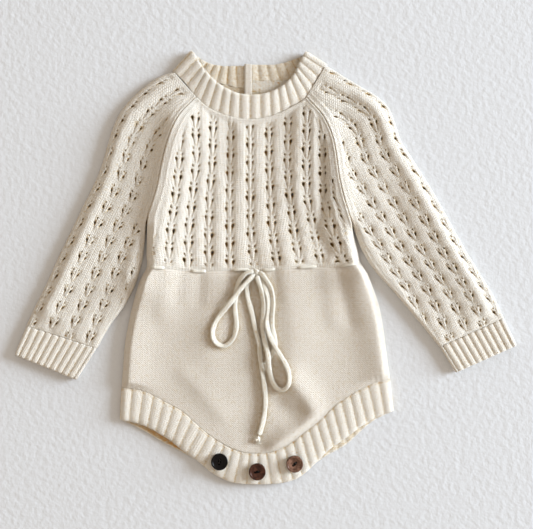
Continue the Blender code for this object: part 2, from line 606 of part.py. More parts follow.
def add_back():
    """The back: lace half, plain half and leg band, which lie flat under the front."""
    inset = 0.6
    low_left = [p for p in body_left if p[1] > -0.2 + line_height(waist, p[0])]
    low_right = [p for p in body_right if p[1] > -0.2 + line_height(waist, p[0])]
    nape = [(row[2], row[3] - SEAM * 1.6) for _, row in smooth_rows(COLLAR, 3.0)
            if row[4] < 0.01]
    left_nape = [p for p in nape if p[0] < OPENING_X - 1]
    right_nape = [p for p in nape if p[0] > OPENING_X + 1]
    half = SEAM / 2 + 0.1
    outline = [(x - (inset if y < UNDERARM_Y else SEAM / 2), y) for x, y in low_right[::-1]]
    outline += [(52.0, 178.0)]
    outline += [p for p in right_nape if p[0] < 49]
    outline += [(OPENING_X + half, right_nape[-1][1]), (OPENING_X + half, OPENING_END_Y)]
    outline += [(OPENING_X - half, OPENING_END_Y), (OPENING_X - half, left_nape[0][1])]
    outline += [p for p in left_nape if p[0] > -76]
    outline += [(-79.4, 173.6)]
    outline += [(x + (inset if y < UNDERARM_Y else SEAM / 2), y) for x, y in low_left]
    outline += [(x, line_height(waist, x) + SEAM / 2) for x in (-80, -50, -20, 10, 40, 65)]
    add_flat("back_bodice", outline, 0, KNIT, CREAM)

    seat_left = [p for p in body_left if p[1] < -0.4 + line_height(waist, p[0])]
    seat_right = [p for p in body_right if p[1] < -0.4 + line_height(waist, p[0])]
    band_top = [(row[0], row[1]) for _, row in band_rows[::2]]
    outline = [(x, line_height(waist, x) - SEAM / 2) for x in (65, 40, 10, -20, -50, -80)]
    outline += [(x + inset, y) for x, y in seat_left if y > band_top[0][1] + SEAM]
    outline += [(x, y + SEAM) for x, y in band_top[1:-1]]
    outline += [(x - inset, y) for x, y in seat_right[::-1] if y > band_top[-1][1] + SEAM]
    add_flat("back_lower", outline, 0, KNIT, CREAM_PLAIN)

    hem = [tuple(row[:2]) for _, row in smooth_rows(BACK_HEM, 7.0)]
    outline = [(band_top[0][0] + inset, band_top[0][1])] + hem
    outline += [(band_top[-1][0] - inset, band_top[-1][1])] + band_top[1:-1][::-1]
    add_flat("back_leg_band", outline, 0, KNIT, CREAM_RIB)


def add_button(place):
    """A turned button with a raised rim, an almond-shaped hollow and two holes for the thread."""
    radius, thick = BUTTON / 2, BUTTON_THICK
    profile = [(0.0, thick * 0.86), (radius * 0.45, thick * 0.84), (radius * 0.66, thick * 0.8),
               (radius * 0.76, thick), (radius * 0.88, thick * 0.94), (radius * 0.98, thick * 0.66),
               (radius, thick * 0.45), (radius * 0.93, thick * 0.12), (radius * 0.8, 0.0), (0.0, 0.0)]
    mesh = bpy.data.meshes.new(place.name)
    mesh.from_pydata([(r * MM, 0, z * MM) for r, z in profile],
                     [(k, k + 1) for k in range(len(profile) - 1)], [])
    button = link(bpy.data.objects.new(place.name, mesh), BROWN, 0.25)
    screw = button.modifiers.new("turned", "SCREW")
    screw.steps = screw.render_steps = 20
    screw.use_merge_vertices = True
    screw.merge_threshold = 0.00001
    button.location = (place.x * MM, place.y * MM, BUTTON_UNDER * MM)
    button.rotation_euler = (0, 0, math.radians(place.turn))

    cutter_mesh = bpy.data.meshes.new(place.name + "_hollow")
    bm = bmesh.new()
    bmesh.ops.create_uvsphere(bm, u_segments=12, v_segments=6, radius=1.0)
    bmesh.ops.scale(bm, vec=(3.3 * MM, 1.5 * MM, 1.1 * MM), verts=bm.verts)
    bmesh.ops.translate(bm, vec=(0, 0, thick * 0.86 * MM), verts=bm.verts)
    for side in (-1, 1):
        hole = bmesh.ops.create_cone(bm, cap_ends=True, segments=6, radius1=0.7 * MM,
                                     radius2=0.7 * MM, depth=thick * 0.9 * MM)["verts"]
        bmesh.ops.translate(bm, vec=(side * 1.5 * MM, 0, thick * 0.3 * MM), verts=hole)
    bm.to_mesh(cutter_mesh)
    bm.free()
    cutter = bpy.data.objects.new(place.name + "_hollow", cutter_mesh)
    cutters.objects.link(cutter)
    cutter.parent = button
    cutter.hide_render = True
    cutter.display_type = "WIRE"
    cut = button.modifiers.new("hollow", "BOOLEAN")
    cut.operation = "DIFFERENCE"
    cut.use_self = True
    cut.object = cutter


def cloth_top(x, y):
    """Height of the front's outside under the drawstring."""
    if y > line_height(waist, x):
        return FRONT_OUTSIDE
    return front_inside(x, y) + KNIT


def add_cord(name, rows):
    """A stretch of the knitted drawstring, as it lies on the cloth and over other strands."""
    curve = bpy.data.curves.new(name, "CURVE")
    curve.dimensions = "3D"
    curve.bevel_depth = CORD / 2 * MM
    curve.bevel_resolution = 2
    curve.use_fill_caps = True
    route = smooth_rows(rows, 6.5)
    spline = curve.splines.new("POLY")
    spline.points.add(len(route) - 1)
    for point, (_, (x, y, layer)) in zip(spline.points, route):
        lift = min(1.0, max(0.0, layer)) * (CORD + CORD_GAP)
        z = cloth_top(x, y) + CORD_GAP + CORD / 2 + lift
        point.co = (x * MM, y * MM, z * MM, 1)
    return link(bpy.data.objects.new(name, curve), CREAM_CORD, 0.85)


def add_knot(name, x, y, size):
    """A pulled knot of the drawstring, as a soft round lump on the cloth."""
    bm = bmesh.new()
    bmesh.ops.create_uvsphere(bm, u_segments=14, v_segments=9, radius=0.5)
    bmesh.ops.scale(bm, vec=size, verts=bm.verts)
    bmesh.ops.translate(bm, vec=(x, y, cloth_top(x, y) + CORD_GAP + size[2] / 2), verts=bm.verts)
    return finish_mesh(name, bm, CREAM_CORD)


CREAM = (0.79, 0.72, 0.62)
CREAM_PLAIN = (0.77, 0.70, 0.61)
CREAM_RIB = (0.80, 0.73, 0.63)
CREAM_CORD = (0.84, 0.78, 0.68)
BROWN = (0.055, 0.022, 0.016)

UNDERARM_Y = 41.0
SLEEVE_WIDEST = 76.0
CUFF_HEIGHT = 6.6
BAND_INSIDE = 3.1
PLACKET_UNDER = RIB_WALL + RIB_DEPTH / 2 + 0.3
BUTTON_UNDER = FRONT_OUTSIDE + 0.5 + RIB_DEPTH * 0.6 + 0.3
LACE_X = -14.6            # the column of lace nearest the middle
LACE_Y = -4.0

for existing in list(bpy.data.objects):
    bpy.data.objects.remove(existing)
romper = bpy.data.collections.new("romper")
cutters = bpy.data.collections.new("cutters")
bpy.context.scene.collection.children.link(romper)
bpy.context.scene.collection.children.link(cutters)
root = bpy.data.objects.new("romper_root", None)
romper.objects.link(root)

left_stations = smooth_rows(SLEEVE_LEFT, REPEAT / 2, start=SEAM)
right_stations = smooth_rows(SLEEVE_RIGHT, REPEAT / 2, start=SEAM)
left_raglan = [EdgeRow(r[2], r[3]) for _, r in left_stations if r[3] > UNDERARM_Y - 1]
right_raglan = [EdgeRow(r[2], r[3]) for _, r in right_stations if r[3] > UNDERARM_Y - 1]
body_left = [tuple(p) for p in left_raglan]
body_left += [tuple(r) for _, r in smooth_rows(left_raglan[-1:] + SIDE_LEFT, 6.0)[1:]]
body_right = [tuple(p) for p in right_raglan]
body_right += [tuple(r) for _, r in smooth_rows(right_raglan[-1:] + SIDE_RIGHT, 6.0)[1:]]
waist = [tuple(row) for _, row in smooth_rows(WAIST, 5.0)]
neckline = [(row[2], row[3]) for _, row in smooth_rows(COLLAR, 2.0)
            if row[4] > 0.99 and -62.6 < row[2] < 37.2]
band_rows = smooth_rows(LEG_BAND, 4.0)
body_left_waist, body_right_waist = -106.8, 84.8

add_back()
add_sleeve("sleeve_left", left_stations)
add_sleeve("sleeve_right", right_stations)
add_cuff("cuff_left", SLEEVE_LEFT[-1], CUFF_END_LEFT)
add_cuff("cuff_right", SLEEVE_RIGHT[-1], CUFF_END_RIGHT)
add_front_bodice()
add_front_lower()
add_leg_band()
add_collar()
x_from, x_to, y_from, y_to = PLACKET
add_flat("back_placket", [(x_from, y_from), (x_to, y_from), (x_to, y_to), (x_from, y_to)],
         PLACKET_UNDER, PLACKET_UNDER + PLACKET_THICK, CREAM_RIB)
for button_place in BUTTONS:
    add_button(button_place)
add_knot("drawstring_knot", KNOT.x, KNOT.y, KNOT_SIZE)
add_cord("drawstring_loop_left", LOOP_LEFT)
add_cord("drawstring_loop_right", LOOP_RIGHT)
add_cord("drawstring_tail_long", TAIL_LONG)
add_cord("drawstring_tail_short", TAIL_SHORT)
add_knot("drawstring_end_knot", *END_KNOT, (5.6, 6.6, 4.6))
for number, stretch in enumerate(WAIST_STRETCHES, start=1):
    add_cord(f"drawstring_waist_{number}", stretch)
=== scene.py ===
import math
from bisect import bisect_right

import bmesh
import bpy
import numpy as np
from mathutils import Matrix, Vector


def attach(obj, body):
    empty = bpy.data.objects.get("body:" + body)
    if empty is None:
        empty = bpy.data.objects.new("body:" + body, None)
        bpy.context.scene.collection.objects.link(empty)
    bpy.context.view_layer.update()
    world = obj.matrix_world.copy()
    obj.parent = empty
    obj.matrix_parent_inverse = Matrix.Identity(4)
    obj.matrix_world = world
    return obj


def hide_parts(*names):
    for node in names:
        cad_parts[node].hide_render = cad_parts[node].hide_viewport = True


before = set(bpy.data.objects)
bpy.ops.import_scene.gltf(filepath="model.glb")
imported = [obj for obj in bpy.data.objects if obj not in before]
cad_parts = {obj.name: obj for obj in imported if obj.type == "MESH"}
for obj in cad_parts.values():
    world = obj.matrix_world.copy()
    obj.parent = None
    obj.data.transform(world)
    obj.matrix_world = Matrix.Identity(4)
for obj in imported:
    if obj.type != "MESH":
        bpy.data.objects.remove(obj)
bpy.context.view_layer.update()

print("the packed romper is loaded")
mm = 0.001   # tables below are in millimetres, as the solids have them
bpy.ops.object.select_all(action="DESELECT")


def hexColor(text):
    # sRGB hex to the linear colour that Blender's sockets want
    parts = [int(text[k:k + 2], 16) / 255 for k in (1, 3, 5)]
    return tuple(c / 12.92 if c <= 0.04045 else ((c + 0.055) / 1.055) ** 2.4 for c in parts) + (1.0,)


def scaleOf(size):
    # a pattern's scale from the real size of its grain in mm
    return 1 / (size * mm)


def plug(node, inputs):
    # into a node's inputs: another node's first output, one of its sockets, or a fixed value
    for place, value in inputs.items():
        if isinstance(value, bpy.types.Node):
            value = value.outputs[0]
        if isinstance(value, bpy.types.NodeSocket):
            node.id_data.links.new(value, node.inputs[place])
        else:
            node.inputs[place].default_value = value


def addNode(material, kind, inputs=None, **settings):
    # one node with its settings and what goes into it
    node = material.node_tree.nodes.new("ShaderNode" + kind)
    for name, value in settings.items():
        setattr(node, name, value)
    plug(node, inputs or {})
    return node


def newMaterial(name, inputs):
    material = bpy.data.materials.new(name)
    material.use_nodes = True
    shader = material.node_tree.nodes["Principled BSDF"]
    plug(shader, inputs)
    return material, shader


def smoothStep(x):
    x = np.clip(x, 0.0, 1.0)
    return x * x * (3 - 2 * x)


def bell(x, width):
    # 1 at nought, falling off softly to either side
    return np.exp(-(x / width) ** 2)


def waysAlong(points):
    # how far along a line each of its points lies
    return np.concatenate([[0.0], np.cumsum(np.linalg.norm(np.diff(points, axis=0), axis=1))])


# heights and thicknesses in mm; "plain" is how thick a place without lace stands above the wall, and
# "knitStart" keeps the places in the knitting above nought
cloth = {"wall": 2.2, "seam": 0.4, "join": 0.04, "frontInside": 3.4, "frontOutside": 5.8, "edge": 5.0,
         "backTop": 2.4, "plain": 0.7, "knitStart": 500}


def smoothRows(rows, step, start=0.0):
    # rows about `step` apart on a smooth curve through a table's rows, each with its place along it
    table = np.array(rows, dtype=float)
    middle = table[:, :2]
    if table.shape[1] >= 4:
        middle = (table[:, :2] + table[:, 2:4]) / 2
    spans = np.maximum(np.linalg.norm(np.diff(middle, axis=0), axis=1), 0.001)
    if table.shape[1] == 5:
        spans = np.maximum(spans, np.abs(np.diff(table[:, 4])) * math.pi * cloth["frontInside"])
    places = np.concatenate([[0.0], np.cumsum(spans)])
    slopes = np.diff(table, axis=0) / spans[:, None]
    weights = spans[1:, None] / (spans[1:, None] + spans[:-1, None])
    tangents = np.vstack([slopes[0], slopes[:-1] * weights + slopes[1:] * (1 - weights), slopes[-1]])
    count = max(1, round((places[-1] - start) / step))
    result = []
    for number in range(count + 1):
        place = start + (places[-1] - start) * number / count
        index = max(0, min(bisect_right(places, place) - 1, len(spans) - 1))
        span = spans[index]
        f = (place - places[index]) / span
        row = (table[index] * (1 + 2 * f) * (1 - f) ** 2 + table[index + 1] * f * f * (3 - 2 * f)
               + tangents[index] * span * f * (1 - f) ** 2
               - tangents[index + 1] * span * f * f * (1 - f))
        result.append((place, row))
    return result


def gridFaces(rows, columns, ring=False):
    # corner numbers of the quads of a grid of points, row after row
    j, i = np.meshgrid(np.arange(rows - 1), np.arange(columns if ring else columns - 1), indexing="ij")
    after = (i + 1) % columns
    return np.stack([j * columns + i, j * columns + after, (j + 1) * columns + after,
                     (j + 1) * columns + i], axis=-1).reshape(-1, 4)


def columnsOf(rows):
    return [np.array(column) for column in zip(*rows)]


def finishPiece(name, mesh, kind, node):
    # merge what meets, turn the faces outwards, and put the piece in its solid's place
    bm = bmesh.new()
    bm.from_mesh(mesh)
    bmesh.ops.remove_doubles(bm, verts=bm.verts, dist=0.00002)
    bmesh.ops.dissolve_degenerate(bm, dist=0.00001, edges=bm.edges)
    bmesh.ops.delete(bm, geom=[v for v in bm.verts if not v.link_faces], context="VERTS")
    bmesh.ops.recalc_face_normals(bm, faces=bm.faces)
    bm.to_mesh(mesh)
    bm.free()
    mesh.shade_smooth()
    mesh.materials.append(knits[kind])
    piece = bpy.data.objects.new(name, mesh)
    bpy.context.scene.collection.objects.link(piece)
    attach(piece, "root")
    if node:
        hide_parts(node)
    mesh.calc_loop_triangles()
    print(f"  {name}: {len(mesh.loop_triangles)} triangles")
    return piece


def meshOf(name, points, faces, knit, hollow):
    # a mesh from points in mm, with its place in the knitting as UV and the painted shade of each point
    mesh = bpy.data.meshes.new(name)
    mesh.vertices.add(len(points))
    mesh.vertices.foreach_set("co", (np.asarray(points) * mm).reshape(-1))
    mesh.loops.add(faces.size)
    mesh.loops.foreach_set("vertex_index", faces.reshape(-1).astype(np.int32))
    mesh.polygons.add(len(faces))
    mesh.polygons.foreach_set("loop_start", np.arange(0, faces.size, 4, dtype=np.int32))
    mesh.update(calc_edges=True)
    uv = mesh.uv_layers.new(name="knit")
    uv.data.foreach_set("uv", knit[faces.reshape(-1)].reshape(-1).astype(np.float32))
    layer = mesh.attributes.new("hollow", "FLOAT", "POINT")
    layer.data.foreach_set("value", np.asarray(hollow).astype(np.float32))
    return mesh


def makeCloth(name, outer, inner, faces, knit, hollow, kind, node, innerPaintedShade=0.6):
    # a knitted wall from matching grids of its two sides, joined round every edge and every eyelet; its inner
    # side has at least the inner painted shade
    count = len(outer)
    a, b = faces.reshape(-1), np.roll(faces, -1, axis=1).reshape(-1)
    size = count + 1
    isRim = ~np.isin(a * size + b, b * size + a)
    a, b = a[isRim], b[isRim]
    rim = np.stack([b, a, a + count, b + count], axis=-1)
    everything = np.concatenate([faces, faces[:, ::-1] + count, rim])
    mesh = meshOf(name, np.concatenate([outer, inner]), everything, np.concatenate([knit, knit]),
                  np.concatenate([hollow, np.maximum(hollow, innerPaintedShade)]))
    return finishPiece(name, mesh, kind, node)


# straight down, and as far up as shows `width` mm at the height of the cloth
view = {"middle": (0.765, 2.655), "width": 479.7, "lens": 85.0, "sensor": 36.0, "clothHeight": 6.0}
cameraData = bpy.data.cameras.new("camera")
cameraData.lens = view["lens"]
cameraData.sensor_width = view["sensor"]
cameraData.sensor_fit = "HORIZONTAL"
camera = bpy.data.objects.new("camera", cameraData)
distance = view["width"] * view["lens"] / view["sensor"] + view["clothHeight"]
camera.location = (view["middle"][0] * mm, view["middle"][1] * mm, distance * mm)
bpy.context.scene.collection.objects.link(camera)
bpy.context.scene.camera = camera
bpy.context.scene.view_settings.view_transform = "Standard"

# a large soft window low on the right, and a warm dim room round it
windowLight = {"place": (5.6, 1.2, 1.6), "size": 2.8, "power": 800.0, "color": (0.78, 0.89, 1.0),
               "room": (1.0, 0.882, 0.745), "roomPower": 0.63}
lampData = bpy.data.lights.new("window", "AREA")
lampData.shape = "SQUARE"
lampData.size = windowLight["size"]
lampData.energy = windowLight["power"]
lampData.color = windowLight["color"]
lamp = bpy.data.objects.new("window", lampData)
lamp.location = windowLight["place"]
lamp.rotation_euler = (-Vector(windowLight["place"])).to_track_quat("-Z", "Y").to_euler()
bpy.context.scene.collection.objects.link(lamp)
world = bpy.data.worlds.new("room")
world.use_nodes = True
world.node_tree.nodes["Background"].inputs["Color"].default_value = (*windowLight["room"], 1)
world.node_tree.nodes["Background"].inputs["Strength"].default_value = windowLight["roomPower"]
bpy.context.scene.world = world

board = {"size": 4.0, "below": 0.2, "color": "#d7d8db", "roughness": 0.85, "speckle": 1 / 0.19,
         "relief": 1.0, "strength": 0.6}
bpy.ops.mesh.primitive_plane_add(size=board["size"], location=(0, 0, -board["below"] * mm))
floor = bpy.context.object
floor.name = "floor"
# matt emulsion, rolled on, so faintly uneven; its speckles are coarser than a roller's, so that they show
paint, emulsion = newMaterial("painted board", {"Base Color": hexColor(board["color"]),
                                                "Roughness": board["roughness"]})
where = addNode(paint, "TexCoord").outputs["Object"]
speckle = addNode(paint, "TexNoise", {"Vector": where, "Scale": scaleOf(board["speckle"]), "Detail": 4.0})
grain = addNode(paint, "Bump", {"Height": speckle.outputs["Fac"], "Strength": board["strength"],
                                "Distance": board["relief"] * mm})
plug(emulsion, {"Normal": grain})
floor.data.materials.append(paint)
bpy.ops.object.select_all(action="DESELECT")
print("camera, light and floor are in place")


# the stops of a yarn's colour from its crests to its depths, all but the first painted shade; the
# grains of its fuzz and of its uneven dye, in mm, are drawn coarser than real fibres, so that they show
yarn = {"light": "#fff7eb", "shade": "#f0dab6", "golden": "#dfc596", "amber": "#cfa05a", "deepShade": "#e09a3c",
        "stops": (0.1, 0.4, 0.65, 0.88), "roughness": 0.92, "sheen": 0.2, "fuzz": 1 / 0.56,
        "fuzzHeight": 2.0, "mottle": 1 / 0.62, "mottleTone": 1.4}


def knittedCotton(name, light, shade, wale, course, relief, dark):
    # soft matt cotton yarn, machine knitted: light on its crests and golden in the painted shade that
    # stands for its eyelets, grooves and inner sides, with a column of V-shaped stitches every `wale` mm and
    # a row of them every `course` mm, which stand up by `relief` mm and get painted shade between them by
    # `dark`
    material, shader = newMaterial(name, {"Roughness": yarn["roughness"], "Sheen Weight": yarn["sheen"],
                                          "Sheen Roughness": 0.5})
    split = addNode(material, "SeparateXYZ", {"Vector": addNode(material, "UVMap", uv_map="knit")})
    wales = addNode(material, "Math", {0: split.outputs["X"], 1: 1 / wale}, operation="MULTIPLY")
    fromMiddle = addNode(material, "Math", {0: wales, 1: 0.5}, operation="PINGPONG")
    leg = addNode(material, "Math", {0: fromMiddle, 1: 2.0}, operation="MULTIPLY")
    rise = addNode(material, "Math", {0: split.outputs["Y"], 1: 1 / course}, operation="MULTIPLY")
    slant = addNode(material, "Math", {0: leg, 1: -0.9, 2: rise}, operation="MULTIPLY_ADD")
    turn = addNode(material, "Math", {0: slant, 1: 2 * math.pi}, operation="MULTIPLY")
    wave = addNode(material, "Math", {0: turn}, operation="COSINE")
    rows = addNode(material, "Math", {0: wave, 1: 0.42, 2: 0.58}, operation="MULTIPLY_ADD")
    arc = addNode(material, "Math", {0: leg, 1: math.pi}, operation="MULTIPLY")
    bow = addNode(material, "Math", {0: arc}, operation="SINE")
    crown = addNode(material, "Math", {0: bow, 1: 0.6}, operation="POWER")
    stitch = addNode(material, "Math", {0: rows, 1: crown}, operation="MULTIPLY")
    where = addNode(material, "TexCoord").outputs["Object"]
    fuzz = addNode(material, "TexNoise", {"Vector": where, "Scale": scaleOf(yarn["fuzz"]), "Detail": 4.0,
                                          "Roughness": 0.75})
    height = addNode(material, "Math", {0: fuzz.outputs["Fac"], 1: yarn["fuzzHeight"], 2: stitch},
                     operation="MULTIPLY_ADD")
    bump = addNode(material, "Bump", {"Height": height, "Strength": 1.0, "Distance": relief * mm})
    # each point's painted shade, golden, standing in for the shade in eyelets, grooves and inner sides
    depth = addNode(material, "Attribute", attribute_name="hollow")
    # painted shade between the stitches, darker by `dark`; the mottle added to it is the yarn's own uneven
    # dye
    stitchShade = addNode(material, "Math", {0: stitch, 1: -dark, 2: dark * 0.45 - 0.8}, operation="MULTIPLY_ADD")
    mottle = addNode(material, "TexNoise", {"Vector": where, "Scale": scaleOf(yarn["mottle"]), "Detail": 2.0})
    patch = addNode(material, "Math", {0: mottle.outputs["Fac"], 1: yarn["mottleTone"], 2: stitchShade},
                    operation="MULTIPLY_ADD")
    low = addNode(material, "Math", {0: patch, 1: depth.outputs["Fac"]}, operation="ADD", use_clamp=True)
    ramp = addNode(material, "ValToRGB", {"Fac": low})
    ramp.color_ramp.elements[0].color = hexColor(light)
    ramp.color_ramp.elements[0].position = yarn["stops"][0]
    ramp.color_ramp.elements[1].color = hexColor(yarn["deepShade"])
    for position, color in zip(yarn["stops"][1:], (shade, yarn["golden"], yarn["amber"])):
        ramp.color_ramp.elements.new(position).color = hexColor(color)
    plug(shader, {"Normal": bump, "Base Color": ramp})
    return material


# each knit's crest colour, and its first colour of painted shade
knits = {"lace": knittedCotton("lace knitted cotton", yarn["light"], yarn["shade"], 2.4, 2.0, 1.0, 0.75),
         "plain": knittedCotton("stockinette cotton", "#fff4e6", "#e9d2ac", 2.2, 1.9, 1.1, 0.8),
         "rib": knittedCotton("rib knitted cotton", yarn["light"], yarn["shade"], 2.2, 1.8, 0.8, 0.75),
         "cord": knittedCotton("knitted cotton cord", "#fff9ec", "#ecd6ae", 2.0, 2.2, 0.5, 0.3)}
print("knitted cottons are ready")

# outlines in mm as the solids have them. A sleeve's row goes from its outer fold to its seam, and its
# last number is 0 where the seam joins the body and 1 where the sleeve is closed under the arm. A
# collar's row goes from its top edge to its seam, with 0 at the back of the neck and 1 in front. A
# leg band's row goes from its upper edge to its lower edge.
sleeveLeftRows = [
    (-83.0, 176.5, -62.5, 153.5, 0), (-96.0, 172.0, -70.0, 146.0, 0), (-107.5, 164.5, -77.5, 137.0, 0),
    (-119.0, 154.5, -84.5, 123.5, 0), (-130.0, 142.0, -89.5, 108.5, 0), (-137.5, 127.0, -94.0, 89.5, 0),
    (-143.0, 109.5, -97.5, 71.5, 0), (-149.0, 89.5, -102.5, 55.5, 0), (-156.5, 72.0, -107.0, 41.0, 0.15),
    (-165.5, 54.0, -109.0, 23.0, 1), (-176.5, 31.0, -111.5, 5.0, 1), (-187.5, 8.5, -118.0, -16.5, 1),
    (-197.5, -14.0, -127.5, -35.0, 1), (-207.5, -34.0, -140.0, -52.0, 1), (-216.0, -52.5, -152.0, -73.0, 1)]
sleeveRightRows = [
    (55.0, 182.0, 37.0, 153.0, 0), (69.5, 173.0, 43.5, 145.5, 0), (83.5, 164.5, 50.0, 138.0, 0),
    (98.0, 156.0, 56.0, 127.5, 0), (109.5, 146.0, 60.5, 115.5, 0), (116.5, 131.0, 63.5, 99.5, 0),
    (121.5, 115.5, 66.0, 81.5, 0), (131.5, 99.5, 69.5, 65.5, 0), (143.5, 80.5, 74.5, 48.5, 0.15),
    (157.0, 58.0, 80.5, 31.0, 1), (169.5, 35.0, 88.0, 13.0, 1), (182.0, 13.0, 100.0, -5.0, 1),
    (195.0, -8.0, 116.0, -22.5, 1), (205.5, -25.5, 135.5, -45.5, 1), (215.0, -45.5, 156.5, -71.5, 1)]
cuffEndLeft = (-227.0, -78.5, -170.0, -101.5, 1)
cuffEndRight = (227.0, -70.0, 171.0, -95.0, 1)
sideLeftRows = [(-107.0, 24.5), (-107.5, 8.5), (-107.0, 1.0), (-112.5, -9.5), (-118.5, -28.5),
                (-123.0, -47.5), (-127.0, -70.0), (-128.5, -89.0), (-130.0, -108.0), (-131.5, -137.5)]
sideRightRows = [(78.5, 31.0), (83.0, 15.5), (85.0, 5.0), (91.5, -5.0), (95.5, -15.0), (101.5, -32.0),
                 (106.0, -55.0), (109.0, -77.5), (112.0, -100.5), (115.5, -129.5)]
waistRows = [(-107.0, 1.0), (-90.0, -0.5), (-65.5, -3.0), (-46.0, -3.0), (-27.5, -2.5), (-10.5, -3.0),
             (6.5, -2.5), (29.0, 0.0), (46.0, 1.0), (70.0, 1.5), (85.0, 5.0)]
collarRows = [
    (-16.0, 182.0, -16.0, 161.0, 0), (-27.0, 182.0, -26.0, 162.5, 0), (-39.5, 182.0, -44.0, 166.5, 0),
    (-51.0, 184.5, -61.0, 169.5, 0), (-59.0, 188.5, -73.0, 172.5, 0), (-63.6, 192.2, -80.8, 174.6, 0),
    (-63.6, 192.2, -80.8, 174.6, 1), (-58.5, 183.5, -73.6, 167.2, 1), (-52.0, 175.0, -62.5, 153.8, 1),
    (-44.5, 167.5, -52.0, 144.5, 1), (-35.5, 161.5, -39.5, 138.5, 1), (-25.0, 157.0, -26.0, 134.8, 1),
    (-12.5, 155.5, -12.5, 133.5, 1), (0.0, 157.0, 0.5, 135.2, 1), (10.5, 161.0, 13.0, 139.5, 1),
    (19.0, 167.0, 25.5, 146.0, 1), (25.5, 174.5, 37.0, 153.3, 1), (29.5, 183.0, 45.0, 168.2, 1),
    (33.8, 191.2, 52.9, 179.8, 1), (33.8, 191.2, 52.9, 179.8, 0), (29.5, 189.5, 43.5, 176.0, 0),
    (22.0, 186.5, 31.0, 170.5, 0), (10.0, 183.5, 15.5, 168.5, 0), (-3.5, 183.0, -1.5, 168.2, 0),
    (-15.3, 183.3, -15.3, 168.0, 0)]
legBandRows = [
    (-130.0, -108.3, -131.5, -137.5), (-112.5, -110.5, -116.5, -140.5), (-99.5, -116.0, -105.5, -144.5),
    (-88.0, -122.5, -96.0, -150.0), (-76.0, -129.0, -86.0, -156.0), (-63.5, -140.0, -75.5, -164.5),
    (-50.0, -151.5, -62.5, -173.5), (-37.0, -160.0, -47.0, -186.0), (-23.0, -166.0, -29.5, -194.0),
    (-8.5, -167.5, -8.0, -195.5), (6.5, -166.0, 13.0, -194.5), (21.0, -159.0, 29.0, -190.0),
    (35.5, -148.0, 44.0, -177.5), (49.0, -137.5, 57.0, -164.5), (62.5, -124.0, 70.5, -155.0),
    (75.0, -115.5, 82.0, -146.5), (86.5, -109.0, 94.0, -138.0), (99.5, -103.5, 105.0, -132.5),
    (112.0, -101.0, 115.5, -129.5)]
backHemRows = [
    (-130.7, -137.8), (-110.5, -147.5), (-92.0, -158.5), (-74.5, -167.5), (-60.0, -175.5),
    (-47.5, -184.5), (-29.5, -192.5), (-8.0, -194.0), (13.0, -193.0), (28.0, -188.5),
    (42.5, -178.5), (58.0, -168.5), (73.0, -160.0), (86.5, -147.5), (97.5, -138.5), (114.7, -130.0)]
bodyWays = {"seamFade": 7.0, "collarFade": 12.0, "bandFade": 7.0, "underarm": 41.0, "raglanBelow": 22,
            "raglanFade": 24, "step": 16.0 / 18}
sleeveLeft = smoothRows(sleeveLeftRows, bodyWays["step"], start=cloth["join"])
sleeveRight = smoothRows(sleeveRightRows, bodyWays["step"], start=-0.7)


def seamOf(rows):
    return [(r[2], r[3]) for _, r in smoothRows(rows, 8.0, start=0.4) if r[3] > bodyWays["underarm"] - 1]


leftRaglan, rightRaglan = seamOf(sleeveLeftRows), seamOf(sleeveRightRows)
bodyLeft = np.array(leftRaglan + [tuple(r) for _, r in smoothRows(leftRaglan[-1:] + sideLeftRows, 6.0)[1:]])
bodyRight = np.array(rightRaglan
                     + [tuple(r) for _, r in smoothRows(rightRaglan[-1:] + sideRightRows, 6.0)[1:]])
waist = np.array([tuple(r) for _, r in smoothRows(waistRows, 5.0)])
collarSeam = np.array([(r[2], r[3], r[4]) for _, r in smoothRows(collarRows, 2.0)])
frontSeam = collarSeam[collarSeam[:, 2] > 0.5][:, :2]
neckline = np.array([p[:2] for p in collarSeam if p[2] > 0.99 and -62.6 < p[0] < 37.2])
nape = np.array(sorted([tuple(p[:2]) for p in collarSeam if p[2] < 0.01]))
bandRows = np.array([r for _, r in smoothRows(legBandRows, 4.0)])
hemRows = np.array([r for _, r in smoothRows(backHemRows, 4.0)])


def lineHeight(line, x):
    return np.interp(x, line[:, 0], line[:, 1])


def lineSide(line, y):
    return np.interp(-y, -line[:, 1], line[:, 0])


def awayFrom(line, x, y):
    # distance from a line's points
    best = np.full(np.shape(x), 1e9)
    for px, py in line:
        best = np.minimum(best, (x - px) ** 2 + (y - py) ** 2)
    return np.sqrt(best)


def raglanPart(y):
    # 1 along the raglan seams, falling to 0 below the underarm
    return smoothStep((y - bodyWays["underarm"] + bodyWays["raglanBelow"]) / bodyWays["raglanFade"])


